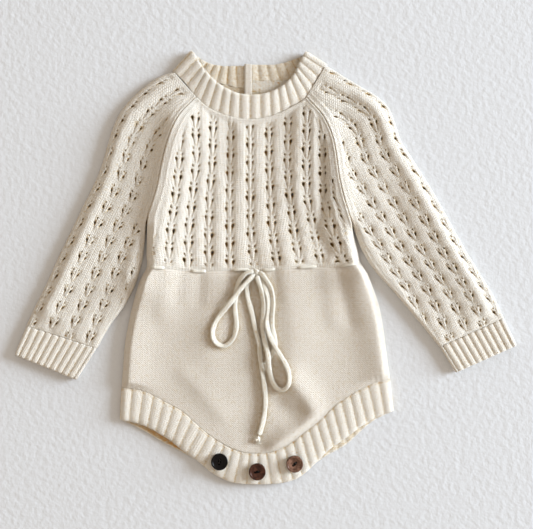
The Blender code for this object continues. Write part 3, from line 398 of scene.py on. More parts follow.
# soft folds as the cloth lies: a line, how wide it slopes on its left and right, and how high it is
lieFolds = [
    ([(-81, 126), (-86, 102), (-97, 56), (-105, 16), (-110, -9)], 12, 27, 6.4),
    ([(-102, 169), (-125, 148), (-140, 110), (-151, 70), (-167, 27), (-185, -13), (-197, -36)], 7, 13, 2.2),
    ([(55, 132), (60, 116), (65, 88), (73, 52), (81, 16), (87, -2)], 23, 10, 4.2),
    ([(52, 108), (53, 83), (53, 56), (47, 36), (56, 14)], 5, 4, -2.4),
    ([(31, 147), (34, 106), (29, 65)], 14, 10, 1.6), ([(-37, 151), (-37, 88)], 7, 7, -0.9),
    ([(-20, 147), (-20, 88)], 9, 11, 0.9), ([(-120, -16), (-125, -65), (-127, -115)], 6, 20, 3.2),
    ([(-85, 0), (-92, -40)], 9, 14, 1.3), ([(-48, -14), (-52, -56), (-48, -106)], 18, 18, 1.1),
    ([(20, -2), (24, -34), (27, -66), (22, -95)], 16, 24, 2.2),
    ([(24, -102), (36, -117), (42, -131), (33, -145), (19, -152), (8, -164)], 9, 12, 3.3),
    ([(12, -123), (22, -130), (31, -129)], 8, 7, -1.7),
    ([(-14, -29), (-9, -70), (-10, -110), (-14, -148), (-3, -162)], 11, 8, -1.2),
    ([(87, -7), (98, -47), (106, -83), (111, -117)], 18, 5, 3.4),
    ([(94, 155), (119, 115), (141, 65), (168, 16), (195, -34)], 14, 7, 2.4),
    ([(114, 70), (123, 16), (137, -29)], 11, 13, -1.0),
    ([(-76, -6), (-80, -26)], 6, 6, -0.7), ([(-59, -4), (-60, -30)], 6, 6, -0.8),
    ([(-33, -5), (-32, -24)], 5, 5, -0.8), ([(8, -5), (10, -30)], 5, 5, -0.7),
    ([(56, -5), (62, -48)], 8, 8, 0.9), ([(66, -5), (76, -50)], 5, 7, -0.9),
    ([(-72, -96), (-40, -132)], 9, 9, 0.8)]


def foldRise(x, y):
    height = np.zeros(np.shape(x))
    for line, leftWide, rightWide, rise in lieFolds:
        nearest = np.full(np.shape(x), 1e9)
        side = np.zeros(np.shape(x))
        for (x0, y0), (x1, y1) in zip(line, line[1:]):
            dx, dy = x1 - x0, y1 - y0
            length = math.hypot(dx, dy)
            part = np.clip(((x - x0) * dx + (y - y0) * dy) / length ** 2, 0, 1)
            ox, oy = x - x0 - part * dx, y - y0 - part * dy
            away = np.hypot(ox, oy)
            closer = away < nearest
            nearest = np.where(closer, away, nearest)
            side = np.where(closer, (dx * oy - dy * ox) / (length * (away + 0.01)), side)
        width = leftWide + (rightWide - leftWide) * (0.5 + 0.5 * side)
        height += 1.25 * rise * bell(nearest, width)
    return height


def lieHeight(x, y, inward):
    # how far the front is lifted in folds; it comes down to its sides, the collar and the leg band
    height = foldRise(x, y)
    onRaglan = raglanPart(y)
    height *= onRaglan + (1 - onRaglan) * smoothStep(inward / bodyWays["seamFade"])
    height *= smoothStep(awayFrom(frontSeam, x, y) / bodyWays["collarFade"])
    return height * smoothStep(awayFrom(bandRows[:, :2], x, y) / bodyWays["bandFade"])


def fromSides(x, y):
    return np.minimum(x - lineSide(bodyLeft, y), lineSide(bodyRight, y) - x)


def sideDrop(x, y):
    return (1 - np.clip(fromSides(x, y) / cloth["edge"], 0, 1)) ** 2


def waistDent(x, y):
    # the drawstring pulls the cloth in along the waist
    return -1.1 * bell(y - lineHeight(waist, x) - 0.5, 4.0)


def clothTop(x, y):
    # height of the front's outside under the drawstring
    x, y = np.asarray(float(x)), np.asarray(float(y))
    return float(cloth["frontOutside"] + lieHeight(x, y, fromSides(x, y)) + waistDent(x, y))


def tube(points, width, thick, turn=0.0, groove=0.0, sides=14, ends=True, taper=0.0):
    # a soft tube along points in mm, as corner points, quads, places in the knitting and painted shade
    points = np.array(points, dtype=float)
    tangent = np.gradient(points, axis=0)
    tangent /= np.linalg.norm(tangent, axis=1)[:, None]
    ways = waysAlong(points)
    side = np.cross(tangent, (0, 0, 1.0))
    side /= np.maximum(np.linalg.norm(side, axis=1), 0.05)[:, None]
    up = np.cross(side, tangent)
    turns = np.broadcast_to(np.asarray(turn, dtype=float), ways.shape)[:, None]
    side, up = side * np.cos(turns) + up * np.sin(turns), up * np.cos(turns) - side * np.sin(turns)
    widths = np.broadcast_to(np.asarray(width, dtype=float), ways.shape)
    thicks = np.broadcast_to(np.asarray(thick, dtype=float), ways.shape)
    if taper:
        close = np.sqrt(np.clip(np.minimum(ways, ways[-1] - ways) / taper, 0.02, 1))
        widths, thicks = widths * close, thicks * close
    angle = np.arange(sides) * 2 * math.pi / sides
    dip = 1 - groove * bell(np.cos(angle), 0.3) * (np.sin(angle) > 0)
    ring = (np.cos(angle)[None, :, None] * side[:, None] * widths[:, None, None] / 2
            + (np.sin(angle) * dip)[None, :, None] * up[:, None] * thicks[:, None, None] / 2)
    corners = (points[:, None] + ring).reshape(-1, 3)
    knit = np.stack(np.broadcast_arrays(np.arange(sides)[None, :] * 4.0 * round(max(widths)) / sides,
                                        ways[:, None]), -1).reshape(-1, 2)
    # painted shade in the groove along the top and on the underside
    low = np.broadcast_to(groove * 1.1 * bell(np.cos(angle), 0.25) * (np.sin(angle) > 0), (len(ways), sides))
    under = np.broadcast_to(0.3 * (np.sin(angle) < -0.3), (len(ways), sides))
    faces = gridFaces(len(ways), sides, ring=True)
    if ends:
        caps = []
        for start in (0, (len(ways) - 1) * sides):
            for k in range(sides // 2 - 1):
                caps.append([start + k, start + k + 1, start + sides - 2 - k, start + sides - 1 - k])
        faces = np.concatenate([faces, np.array(caps)])
    return corners, faces, knit, (low + under).reshape(-1)


def joinParts(parts):
    corners, faces, knit, hollow, count = [], [], [], [], 0
    for part in parts:
        corners.append(part[0])
        faces.append(part[1] + count)
        knit.append(part[2])
        hollow.append(part[3])
        count += len(part[0])
    return tuple(np.concatenate(k) for k in (corners, faces, knit, hollow))


def finishString(name, parts, node):
    return finishPiece(name, meshOf(name, *joinParts(parts)), "cord", node)


# routes listed: where the string runs, and 1 where it lies on another turn of itself
cord = {"width": 4.5, "thick": 3.0, "over": 3.3, "groove": 0.34, "step": 1.1, "off": 0.25}
loopLeftRows = [
    (-9.6, -6.0, 1), (-12.6, -8.8, 1), (-17.9, -14.1, 1), (-23.6, -20.9, 1), (-29.3, -28.4, 1),
    (-35.7, -36.4, 0.5), (-41.4, -43.3, 0), (-45.9, -50.8, 0), (-47.7, -57.6, 0), (-46.6, -64.6, 0),
    (-42.6, -69.2, 0),
    (-37.9, -70.6, 0), (-32.8, -68.0, 0), (-28.8, -62.9, 0), (-27.0, -56.6, 0), (-26.4, -49.6, 0),
    (-27.0, -43.3, 0), (-27.6, -37.6, 0), (-27.6, -33.0, 0), (-27.0, -27.0, 0), (-25.8, -18.9, 0),
    (-23.8, -12.8, 0.1), (-20.7, -8.3, 0.7), (-17.4, -5.3, 1), (-13.8, -4.0, 1), (-9.8, -3.6, 0.8)]
loopRightRows = [
    (-8.0, -6.6, 1), (-7.0, -10.8, 1), (-5.1, -16.7, 0.7), (-3.5, -23.0, 0.1), (-2.2, -29.3, 0),
    (-1.8, -37.4, 0), (-2.4, -43.7, 0), (-3.0, -50.9, 0), (-2.2, -59.0, 0), (-0.4, -68.0, 0.4),
    (1.7, -76.0, 1),
    (3.0, -87.8, 1), (4.1, -95.9, 0.1), (6.6, -103.5, 0), (10.7, -108.7, 0), (15.2, -109.9, 0),
    (19.2, -107.0, 0), (21.2, -99.9, 0), (20.1, -92.3, 0), (17.1, -85.5, 0), (13.1, -78.8, 0.5),
    (8.9, -72.0, 1), (5.4, -65.3, 1), (2.6, -58.1, 1), (1.2, -51.3, 0.3), (1.6, -44.6, 0),
    (2.4, -37.4, 0), (2.4, -30.2, 0), (1.2, -23.4, 0), (-1.0, -17.6, 0), (-3.8, -10.8, 0), (-6.4, -6.6, 0.3)]
tailLongRows = [
    (-9.6, -6.8, 0), (-12.8, -9.6, 0), (-15.4, -12.8, 0), (-17.0, -17.5, 0), (-16.7, -23.3, 0),
    (-15.0, -31.8, 0), (-12.6, -40.5, 0), (-10.4, -50.8, 0), (-8.1, -60.5, 0), (-5.8, -69.2, 0),
    (-5.1, -78.3, 0),
    (-4.2, -86.9, 0), (-2.8, -95.9, 0), (-1.3, -105.8, 0), (-0.3, -115.7, 0), (-0.7, -128.0, 0),
    (-2.3, -137.9, 0), (-4.9, -147.8, 0), (-6.0, -151.5, 0)]
tailShortRows = [
    (-6.6, -4.0, 1), (-3.2, -6.4, 1), (0.5, -11.0, 0.8), (3.6, -16.3, 0.2), (5.8, -23.3, 0), (6.4, -30.2, 0),
    (6.3, -37.6, 0), (5.8, -45.0, 0), (5.9, -52.0, 0), (7.0, -59.4, 0), (8.3, -65.7, 0),
    (8.3, -70.7, 0), (6.2, -76.5, 0), (2.9, -82.0, 0), (-0.2, -84.8, 0)]
waistStretchRows = [
    [(-103.0, 0.2, 0), (-97.0, 0.0, 0), (-90.5, -0.4, 0)],
    [(-67.0, -3.0, 0), (-60.5, -3.3, 0), (-53.5, -3.1, 0)],
    [(-29.5, -2.4, 0), (-21.5, -1.8, 0), (-14.0, -2.7, 0)],
    [(-2.8, -2.2, 0), (3.0, -1.9, 0), (8.5, -1.2, 0)],
    [(29.0, 0.0, 0), (37.5, 0.6, 0), (46.0, 1.0, 0)],
    [(69.0, 1.6, 0), (74.5, 2.4, 0), (80.5, 4.2, 0)]]


def cordRoute(rows):
    route = []
    for _, (x, y, layer) in smoothRows(rows, cord["step"]):
        z = clothTop(x, y) + cord["off"] + cord["thick"] / 2 + min(1.0, max(0.0, layer)) * cord["over"]
        route.append((x, y, z))
    route = np.array(route)
    for _ in range(4):
        route[1:-1, 2] = (route[:-2, 2] + 2 * route[1:-1, 2] + route[2:, 2]) / 4
    return route


def makeCord(name, rows, node, tilt=0.0):
    route = cordRoute(rows)
    ways = np.arange(len(route)) * cord["step"]
    width = cord["width"] * (1 + 0.06 * np.sin(ways / 5.7 + len(name)) + 0.05 * np.sin(ways / 2.3))
    turn = tilt + 0.22 * np.sin(ways / 13.0 + len(name))
    piece = finishString(name, [tube(route, width, cord["thick"], turn, cord["groove"], taper=2.0)], node)
    length = float(np.linalg.norm(np.diff(route, axis=0), axis=1).sum()) * mm
    return piece, [tuple(p) for p in route * mm], length


def fibres(x, y, z, direction, count, length, spread):
    # a tuft of cut yarn ends
    parts = []
    for k in range(count):
        swing = direction + spread * (k / (count - 1) - 0.5) + 0.12 * math.sin(k * 2.4)
        long = length * (0.7 + 0.3 * math.sin(k * 1.7 + 1))
        points = []
        for step in range(6):
            f = step / 5
            bend = swing + 0.35 * f * math.sin(k * 3.1)
            points.append((x + 0.5 * math.cos(k * 2.1) + long * f * math.cos(bend),
                           y + long * f * math.sin(bend), z * (1 - 0.5 * f) + 0.4 * math.sin(k * 1.3) + 0.6))
        parts.append(tube(points, 0.75, 0.75, sides=6))
    return parts


def knotPart(x, y, z, wide, high, thick, turn, rope):
    # an overhand knot pulled tight
    points = []
    for k in range(73):
        t = k * 2 * math.pi / 72
        px, py = math.sin(t) + 2 * math.sin(2 * t), math.cos(t) - 2 * math.cos(2 * t)
        points.append((x + (px * math.cos(turn) - py * math.sin(turn)) * wide / 6,
                       y + (px * math.sin(turn) + py * math.cos(turn)) * high / 6,
                       z - math.sin(3 * t) * thick / 2))
    return tube(points, rope, rope * 0.85, groove=0.2, ends=False)


cordsMade = {}
for name, rows, node, tilt in (("loopLeft", loopLeftRows, "drawstring_loop_left", 0.25),
                               ("loopRight", loopRightRows, "drawstring_loop_right", -0.15),
                               ("tailLong", tailLongRows, "drawstring_tail_long", 0.2),
                               ("tailShort", tailShortRows, "drawstring_tail_short", -0.2)):
    cordsMade[name] = makeCord(name, rows, node, tilt)

knot = {"place": (-8.2, -5.0), "size": (4.2, 3.8, 2.4), "rope": 2.7, "height": 6.8}
knotZ = clothTop(*knot["place"]) + knot["height"] / 2
parts = [knotPart(*knot["place"], knotZ, *knot["size"], 0.5, knot["rope"]),
         tube([(-11.6, -2.4, knotZ - 1.6), (-10.2, -2.6, knotZ + 0.8), (-8.2, -4.0, knotZ + 1.7),
               (-7.0, -6.4, knotZ + 1.2), (-6.6, -8.2, knotZ - 0.8)], 3.8, 2.2, groove=0.3, taper=1.0)]
tiedKnot = finishString("tiedKnot", parts, "drawstring_knot")

endKnot = {"place": (-7.2, -154.6), "size": (3.4, 4.0, 2.2), "rope": 2.2}
endZ = clothTop(*endKnot["place"]) + 2.3
parts = [knotPart(*endKnot["place"], endZ, *endKnot["size"], 0.3, endKnot["rope"])]
parts += fibres(endKnot["place"][0], endKnot["place"][1] - 2.0, endZ - 1.0, -1.65, 12, 5.2, 1.3)
tailKnot = finishString("tailKnot", parts, "drawstring_end_knot")

tuftZ = clothTop(-1.6, -85.5) + 1.6
tuft = finishString("tailTuft", fibres(-0.4, -84.6, tuftZ, -2.1, 9, 4.6, 1.1), None)

waistStretch = {"width": 3.1, "thick": 2.5, "groove": 0.25, "sunk": 0.5, "dive": 2.4}


def makeWaistStretch(number, rows):
    # one stretch of the string between two eyelets, into which both its ends go down
    route = cordRoute(rows)
    part = np.linspace(-1, 1, len(route))
    route[:, 2] -= waistStretch["sunk"] + waistStretch["dive"] * np.abs(part) ** 5
    parts = [tube(route, waistStretch["width"], waistStretch["thick"], 0.1 * number, waistStretch["groove"],
                  taper=0.6)]
    finishString(f"waistStretch{number}", parts, f"drawstring_waist_{number}")


for number, rows in enumerate(waistStretchRows, 1):
    makeWaistStretch(number, rows)

print("the drawstring is laid and tied")

# a repeat's two pairs of eyelets: across and along from the spine, half width, half height and lean;
# they are cut where more than `cutOver` of the lace's relief is left
lace = {"repeat": 16.0, "cutOver": 0.55,
        "body": ((2.75, 0.0, 0.92, 1.7, -0.2), (2.5, 4.9, 0.45, 1.2, -0.4)),
        "sleeve": ((2.6, 0.0, 0.66, 1.45, -0.4), (2.2, 4.6, 0.42, 0.95, -0.4))}


def uneven(cell, seed):
    # a steady unevenness from -1 to 1 for each cell number
    wave = np.sin(cell * 12.9898 + seed * 78.233) * 43758.5453
    return 2 * (wave - np.floor(wave)) - 1


def inEyelet(side, along, cell, eyelet):
    # below 1 inside an eyelet, whose size is uneven and whose lower end is drawn to a point
    x, y, halfWide, halfHigh, turn = eyelet
    count = np.floor((along - y) / lace["repeat"] + 0.5)
    away = (along - y) - count * lace["repeat"]
    size = 1 + 0.24 * uneven(cell * 7 + count, x)
    dx, dy = side - x - 0.25 * uneven(cell * 3 + count, 5.0), away - 0.5 * uneven(cell + count * 5, 3.0)
    across = dx * math.cos(turn) + dy * math.sin(turn)
    up = -dx * math.sin(turn) + dy * math.cos(turn)
    narrow = 1 + 0.3 * np.clip(up / halfHigh, -1, 1)
    return np.hypot(across / (halfWide * size * narrow), up / (halfHigh * size)), dx, dy


def strand(side, along, x0, y0, x1, y1, width):
    # how much a straight strand of stitches covers a place, 0 to 1
    best = np.zeros_like(side)
    length = math.hypot(x1 - x0, y1 - y0) ** 2
    for shift in (-lace["repeat"], 0, lace["repeat"]):
        part = ((side - x0) * (x1 - x0) + (along + shift - y0) * (y1 - y0)) / length
        part = np.clip(part, 0, 1)
        away = np.hypot(side - x0 - part * (x1 - x0), along + shift - y0 - part * (y1 - y0))
        best = np.maximum(best, bell(away, width))
    return best


def rimOf(side, along, cell, eyelets):
    first = np.exp(-np.maximum(inEyelet(side, along, cell, eyelets[0])[0] - 1, 0) ** 2 / 0.16)
    second = np.exp(-np.maximum(inEyelet(side, along, cell, eyelets[1])[0] - 1, 0) ** 2 / 0.3)
    return np.maximum(first, 0.8 * second)


def laceForm(across, along, cell):
    # height in mm and painted shade of the body's lace, `across` mm from a column's spine and
    # `along` mm above one of its large pairs of eyelets
    side = np.abs(across)
    rim = rimOf(side, along, cell * 2 + (across < 0), lace["body"])
    along = along % lace["repeat"]
    height = (0.3 + 0.14 * np.cos(2 * math.pi * (along + 0.8 * side) / 2.0)) * bell(side, 1.4)
    pillow = smoothStep((side - 2.4) / 4.6)
    leaf = 0.5 * np.cos(2 * math.pi * (along + 0.35 * side - 9.5) / lace["repeat"])
    leaf *= 1 - smoothStep((side - 5.5) / 2.8)
    height += pillow * (1.0 + 0.25 * leaf)
    groove = strand(side, along, 2.7, -1.6, 0.95, -8.5, 0.5)
    second = strand(side, along, 5.6, 1.5, 3.0, -7.5, 0.5)
    height -= 0.75 * groove + 0.35 * second + 0.15 * strand(side, along, 7.6, 3.0, 6.0, -5.0, 0.5)
    height += 0.4 * strand(side, along, 4.4, -0.5, 2.1, -9.5, 0.8)
    height += 0.35 * strand(side, along, 4.4, 4.4, 1.6, 1.9, 0.7)
    height -= 0.45 * rim
    # painted shade in the grooves and round the eyelets
    return height, np.clip(0.34 * groove + 0.1 * second + 0.62 * rim, 0, 1)


def budForm(across, along, cell):
    # the same for the sleeves' lower half, where each repeat is a small bud of strands that rises
    # from a pair of eyelets, between soft wavy bands
    side = np.abs(across)
    rim = rimOf(side, along, cell * 2 + (across < 0), lace["sleeve"])
    along = along % lace["repeat"]
    wave = 6.0 + 0.9 * np.cos(2 * math.pi * (along - 1.5) / lace["repeat"])
    height = 0.45 + 0.65 * smoothStep((side - wave + 3.4) / 4.0)
    height += 0.5 * strand(side, along, 0.6, -4.0, 1.0, 4.4, 0.6)
    height += 0.45 * strand(side, along, 2.0, 2.4, 3.2, 6.6, 0.7)
    stem = strand(side, along, 2.3, -1.4, 0.7, -6.4, 0.45)
    petal = strand(side, along, 3.0, 1.2, 4.2, 4.8, 0.45)
    middle = strand(side, along, 0.0, 0.4, 0.0, 3.4, 0.4)
    height -= 0.55 * stem + 0.5 * petal + 0.3 * middle + 0.4 * rim
    # painted shade in the strands' grooves and round the eyelets
    return height, np.clip(0.36 * stem + 0.4 * petal + 0.2 * middle + 0.66 * rim, 0, 1)


def cutEyelets(across, along, cell, faces, keep, eyelets):
    # take out the quads inside eyelets where `keep` has them, pull the corners round each hole onto
    # its outline, and return the faces left and how far each point moves across and along
    moveX, moveY = np.zeros_like(across), np.zeros_like(across)
    gone = np.zeros(len(faces), bool)
    sign = np.where(across < 0, -1.0, 1.0)
    cell = cell * 2 + (across < 0)
    for eyelet in eyelets:
        side = np.abs(across)
        middle = side[faces].mean(axis=1), along[faces].mean(axis=1)
        inside = inEyelet(*middle, cell[faces[:, 0]], eyelet)[0] < 1.0
        inside &= keep[faces].all(axis=1)
        inside &= np.sign(across[faces]).min(axis=1) == np.sign(across[faces]).max(axis=1)
        gone |= inside
        onRim = np.intersect1d(np.unique(faces[~inside]), np.unique(faces[inside]))
        part, dx, dy = inEyelet(side[onRim], along[onRim], cell[onRim], eyelet)
        scale = np.clip(1 / np.maximum(part, 0.3) - 1, -0.6, 0.8)
        moveX[onRim] += dx * scale * sign[onRim]
        moveY[onRim] += dy * scale
    return faces[~gone], moveX, moveY


# where each column's spine runs at five heights, and how far up its eyelets are moved from a plain
# half drop, as the cloth is pulled towards the seams and gathered at the waist; then a column's points
# across, how wide the plain edges are, how far the front hangs over the plain half, and the back's slit
bodyLace = {
    "levels": (128.2, 96.7, 65.2, 33.7, 2.2),
    "spines": [(-126, -127, -130, -134, -137), (-110, -111, -114, -118, -121),
               (-92.4, -94.2, -97.8, -101.8, -105), (-76.2, -77.4, -80.5, -85.5, -87.7),
               (-63.4, -62.1, -65.7, -69.4, -70.5),
               (-47.6, -48.4, -50.7, -51.8, -51.2), (-31.7, -32, -32.9, -32.9, -32.1),
               (-14.3, -14, -14.2, -13.8, -10.8), (2.9, 2.7, 4, 5.7, 10.5),
               (20.3, 19.2, 21.2, 25.1, 30.9), (37, 36.7, 36.9, 43.2, 49.8),
               (50.7, 51.4, 52.1, 58.6, 70.1), (61.5, 62, 62.9, 75.9, 88.5),
               (76, 76, 77.7, 90.3, 106.5), (92, 92, 94, 107, 124)],
    "lift": (6, 6, 7.6, 3.7, 1.1, 0, 0, 1.6, 2.8, 4.0, 5.5, 8.3, 9, 10, 10),
    "firstRow": 13.0, "frontSteps": 20, "backSteps": 10, "plainSide": 6.0, "plainLeft": 11.0,
    "tuck": 1.2, "slit": -15.65, "slitEnd": 100.0}


def laceGrid(steps, shift, repeats):
    # points of the body's lace: plan, place from the nearest spine and eyelets, and column number
    table = bodyLace
    columns = len(table["spines"])
    c = np.arange((columns - 1) * steps + 1) / steps
    v = np.arange(repeats * steps + 1) / steps
    cGrid, vGrid = np.meshgrid(c, v)
    lift = np.interp(cGrid, np.arange(columns), table["lift"])
    y = table["firstRow"] + (vGrid - 1.5) * lace["repeat"] + lift
    levels, tracks = np.array(table["levels"])[::-1], np.array(table["spines"])[:, ::-1]
    low = np.floor(np.clip(cGrid, 0, columns - 1.0001)).astype(int)
    part = cGrid - low
    yIn = np.clip(y, levels[0], levels[-1])
    x = np.zeros_like(y)
    for k in range(columns):
        track = np.interp(yIn, levels, tracks[k])
        x += np.where(low == k, track * (1 - part), 0) + np.where(low == k - 1, track * part, 0)
    nearest = np.round(cGrid - shift).astype(int)
    width = np.abs(np.gradient(tracks[:, 2]))[np.clip(nearest, 0, columns - 1)]
    across = (cGrid - shift - nearest) * width
    along = (vGrid - 1.5 - 0.5 * ((nearest + 1) % 2)) * lace["repeat"]
    faces = gridFaces(len(v), len(c))
    return [k.reshape(-1) for k in (x, y, across, along, nearest, cGrid * 16, vGrid * 16)], faces


def makeFrontBodice():
    table = bodyLace
    (x, y, across, along, cell, knitX, knitY), faces = laceGrid(table["frontSteps"], 0.0, 11)

    def clamped(x, y):
        top = lineHeight(neckline, x) - cloth["join"]
        y = np.minimum(y, top)
        left, right = lineSide(bodyLeft, y) + cloth["join"], lineSide(bodyRight, y) - cloth["join"]
        x = np.minimum(np.maximum(x, left), right)
        y = np.minimum(y, lineHeight(neckline, x) - cloth["join"])
        y = np.maximum(y, lineHeight(waist, x) - table["tuck"])   # over the lower front's top edge
        return x, y, x - left, right - x

    xIn, yIn, fromLeft, fromRight = clamped(x, y)
    moved = np.hypot(xIn - x, yIn - y) > 0.01
    onRaglan = raglanPart(yIn)
    plain = table["plainSide"] + (table["plainLeft"] - table["plainSide"]) * onRaglan
    fade = smoothStep((fromLeft - plain + 1.5) / 3) * smoothStep((fromRight - table["plainSide"] + 1.5) / 3)
    fade *= smoothStep((yIn - lineHeight(waist, xIn) - 1.5) / 3)
    fade *= smoothStep((lineHeight(neckline, xIn) - yIn - 3) / 4)
    faces = faces[~moved[faces].all(axis=1)]
    keep = (fade > lace["cutOver"]) & ~moved
    faces, moveX, moveY = cutEyelets(across, along, cell, faces, keep, lace["body"])
    height, deepShade = laceForm(across + moveX, along + moveY, cell)
    xIn, yIn, fromLeft, fromRight = clamped(x + moveX, y + moveY)
    inward = np.minimum(fromLeft, fromRight)
    height = height * fade + cloth["plain"] * (1 - fade)
    height = (height + 0.35) * smoothStep((yIn - lineHeight(waist, xIn) + 1.2) / 3) - 0.35
    ridge = (bell(inward - 1.1, 0.8) + 0.7 * bell(inward - 6.6, 0.9)) * onRaglan
    height += 0.6 * ridge - 0.2 * bell(inward, 0.45) * onRaglan
    neck = lineHeight(neckline, xIn) - yIn
    height += 0.4 * bell(neck - 1.6, 0.8) - 0.1 * bell(neck, 0.5)
    # painted shade of the lace, and along the raglan seam's edge
    deepShade = np.maximum(deepShade * fade, 0.3 * bell(inward, 0.5) * onRaglan)
    drop = sideDrop(xIn, yIn) * (1 - onRaglan)
    lie = lieHeight(xIn, yIn, inward) + waistDent(xIn, yIn)
    z = cloth["frontOutside"] + 0.1 + height * (1 - drop) - 1.8 * drop + lie
    inner = np.maximum(z - cloth["wall"], cloth["frontInside"] - 1.0 * drop + np.maximum(lie, -0.6))
    knit = np.stack([knitX + moveX, knitY + moveY], axis=-1)
    inner = np.minimum(inner, z - 0.7)
    # the inside, seen through the eyelets, has the deepest painted shade
    return makeCloth("frontBodice", np.stack([xIn, yIn, z], -1), np.stack([xIn, yIn, inner], -1), faces,
                     knit, deepShade, "lace", "front_bodice", innerPaintedShade=1.0)


frontBodice = makeFrontBodice()
print("front bodice is knitted")


def makeBackBodice():
    # the same lace as a flat layer; its outside is underneath, so the leaves stand up downwards
    table = bodyLace
    (x, y, across, along, cell, knitX, knitY), faces = laceGrid(table["backSteps"], 0.37, 13)
    slit, slitEnd = table["slit"], table["slitEnd"]

    def clamped(x, y):
        left, right = lineSide(bodyLeft, y) + 0.6, lineSide(bodyRight, y) - 0.6
        high = y > 150
        left = np.where(high, np.interp(y, (150, 153.5, 173.6), (-62.2, -62.6, -79.0)), left)
        right = np.where(high, np.interp(y, (150, 155, 178), (38.4, 36.8, 52.0)), right)
        x = np.minimum(np.maximum(x, left), right)
        top = np.minimum(lineHeight(nape, x) - 0.05, 173.2)
        y = np.maximum(np.minimum(y, top), lineHeight(waist, x) + 0.2)
        return x, y, np.minimum(x - left, right - x)

    xIn, yIn, inward = clamped(x, y)
    moved = np.hypot(xIn - x, yIn - y) > 0.01
    fade = smoothStep((inward - 6) / 3) * smoothStep((yIn - lineHeight(waist, xIn) - 1.5) / 3)
    fade *= smoothStep((lineHeight(nape, xIn) - yIn - 8) / 4)
    fade *= np.where(yIn > slitEnd - 6, smoothStep((np.abs(xIn - slit) - 6) / 3), 1)
    faces = faces[~moved[faces].all(axis=1)]
    keep = (fade > lace["cutOver"]) & ~moved
    faces, moveX, moveY = cutEyelets(across, along, cell, faces, keep, lace["body"])
    height, deepShade = laceForm(across + moveX, along + moveY, cell)
    xIn, yIn, inward = clamped(x + moveX, y + moveY)
    crossing = (xIn[faces].min(axis=1) < slit) & (xIn[faces].max(axis=1) > slit)
    faces = faces[~(crossing & (yIn[faces].mean(axis=1) > slitEnd))]
    height = height * fade + cloth["plain"] * (1 - fade)
    band = bell(lineHeight(nape, xIn) - yIn - 9.0, 0.8)
    # painted shade on the inside, deeper further below the neck where the front covers it
    shaded = 0.5 + 0.5 * smoothStep((lineHeight(neckline, xIn) + 18 - yIn) / 14)
    turned = smoothStep((xIn + 13.5) / 1.0) * smoothStep((yIn - lineHeight(nape, xIn) + 9.5) / 1.5)
    # less painted shade on the turned-in edge under the collar's right half
    shaded = shaded - 0.42 * turned   # the turned-in edge under the collar's right half
    bottom = np.clip(1.2 - height, 0, 1.1)
    top = cloth["backTop"] - 0.35 * deepShade * fade + 0.5 * band + 0.5 * turned
    knit = np.stack([knitX + moveX, knitY + moveY], axis=-1)
    return makeCloth("backBodice", np.stack([xIn, yIn, bottom], -1), np.stack([xIn, yIn, top], -1), faces,
                     knit, deepShade, "lace", "back_bodice", innerPaintedShade=shaded)


backBodice = makeBackBodice()
print("back bodice is knitted")

# steps are a column's points across and `before` those outside the first spine; from `plaits` mm below
# the neck the lace turns from plaits to buds over 30 mm
sleeve = {"height": 5.8, "widest": 76.0, "steps": 25, "before": 4, "foldSteps": 6, "underStep": 4.0,
          "plaits": 62.0, "knitStart": 300}
# at places down the arm, how far in from the fold the first spine runs and how wide the columns are;
# then one eyelet's place, and how far each column's eyelets are moved down from the one before
sleeveLaceLeft = {"places": (80, 160, 245), "first": (3.3, 3.3, 4.0), "spacing": (18.2, 16.0, 17.8),
                  "repeat": 15.9, "anchor": (-152.3, 39.3), "shift": 6.2}
sleeveLaceRight = {"places": (60, 170), "first": (1.0, 4.2), "spacing": (17.8, 16.0), "repeat": 15.9,
                   "anchor": (167.1, -1.5), "shift": 7.6}


def sleeveSection(row, first, spacing, rise):
    # across one sleeve, from its seam over the top, round the fold and back underneath: its outer and
    # inner points, the lace's column at each, and 1, 0 or -1 for the top, the fold and the underside
    fold, seam = np.array(row[:2]), np.array(row[2:4])
    closed = min(1.0, max(0.0, row[4]))
    width = np.linalg.norm(fold - seam)
    across = (fold - seam) / width
    height, wall, gap = sleeve["height"], cloth["wall"], cloth["seam"]
    radius = height / 2
    innerRadius = radius - wall
    steps = math.ceil(sleeve["widest"] * sleeve["steps"] / 15.5)
    underSteps = math.ceil(sleeve["widest"] / sleeve["underStep"])

    def curl(part, size, side):
        angle = part * (math.pi / 2 - gap / 2 / radius)
        flat = np.array([radius * (1 - part) + cloth["join"] * part, side * size])
        bent = np.array([radius - size * math.sin(angle), side * size * math.cos(angle)])
        if size < radius:
            bent[0] = max(bent[0], radius - size)
        return flat * (1 - closed) + bent * closed + np.array([0, radius])

    points = []
    for part in (1, 0.75, 0.5, 0.25):
        points.append((curl(part, radius, 1), curl(part, innerRadius, 1),
                       (width - radius * (1 - part) - first) / spacing, 1))
    for step in range(steps, -sleeve["before"] - 1, -1):
        w = min(width - radius, max(radius, width - first - step * spacing / sleeve["steps"]))
        dome = rise * math.sin(math.pi * min(1.0, max(0.0, (w - radius) / (width - 2 * radius))))
        points.append(((w, height + dome), (w, height - wall + dome), (width - w - first) / spacing, 1))
    for k in range(1, sleeve["foldSteps"] + 1):
        turn = math.pi / 2 - math.pi * k / sleeve["foldSteps"]
        points.append(((width - radius + radius * math.cos(turn), radius + radius * math.sin(turn)),
                       (width - radius + innerRadius * math.cos(turn), radius + innerRadius * math.sin(turn)),
                       (radius - math.pi * radius * k / sleeve["foldSteps"] - first) / spacing, 0))
    for step in range(1, underSteps + 1):
        w = max(radius, width - radius - step * sleeve["underStep"])
        points.append(((w, 0), (w, wall),
                       (radius - math.pi * radius - (width - radius - w) - first) / spacing, -1))
    for part in (0.33, 0.66, 1):
        points.append((curl(part, radius, -1), curl(part, innerRadius, -1),
                       (radius - math.pi * radius - width + 2 * radius - first) / spacing, -1))
    return seam, across, *columnsOf(points), closed, width


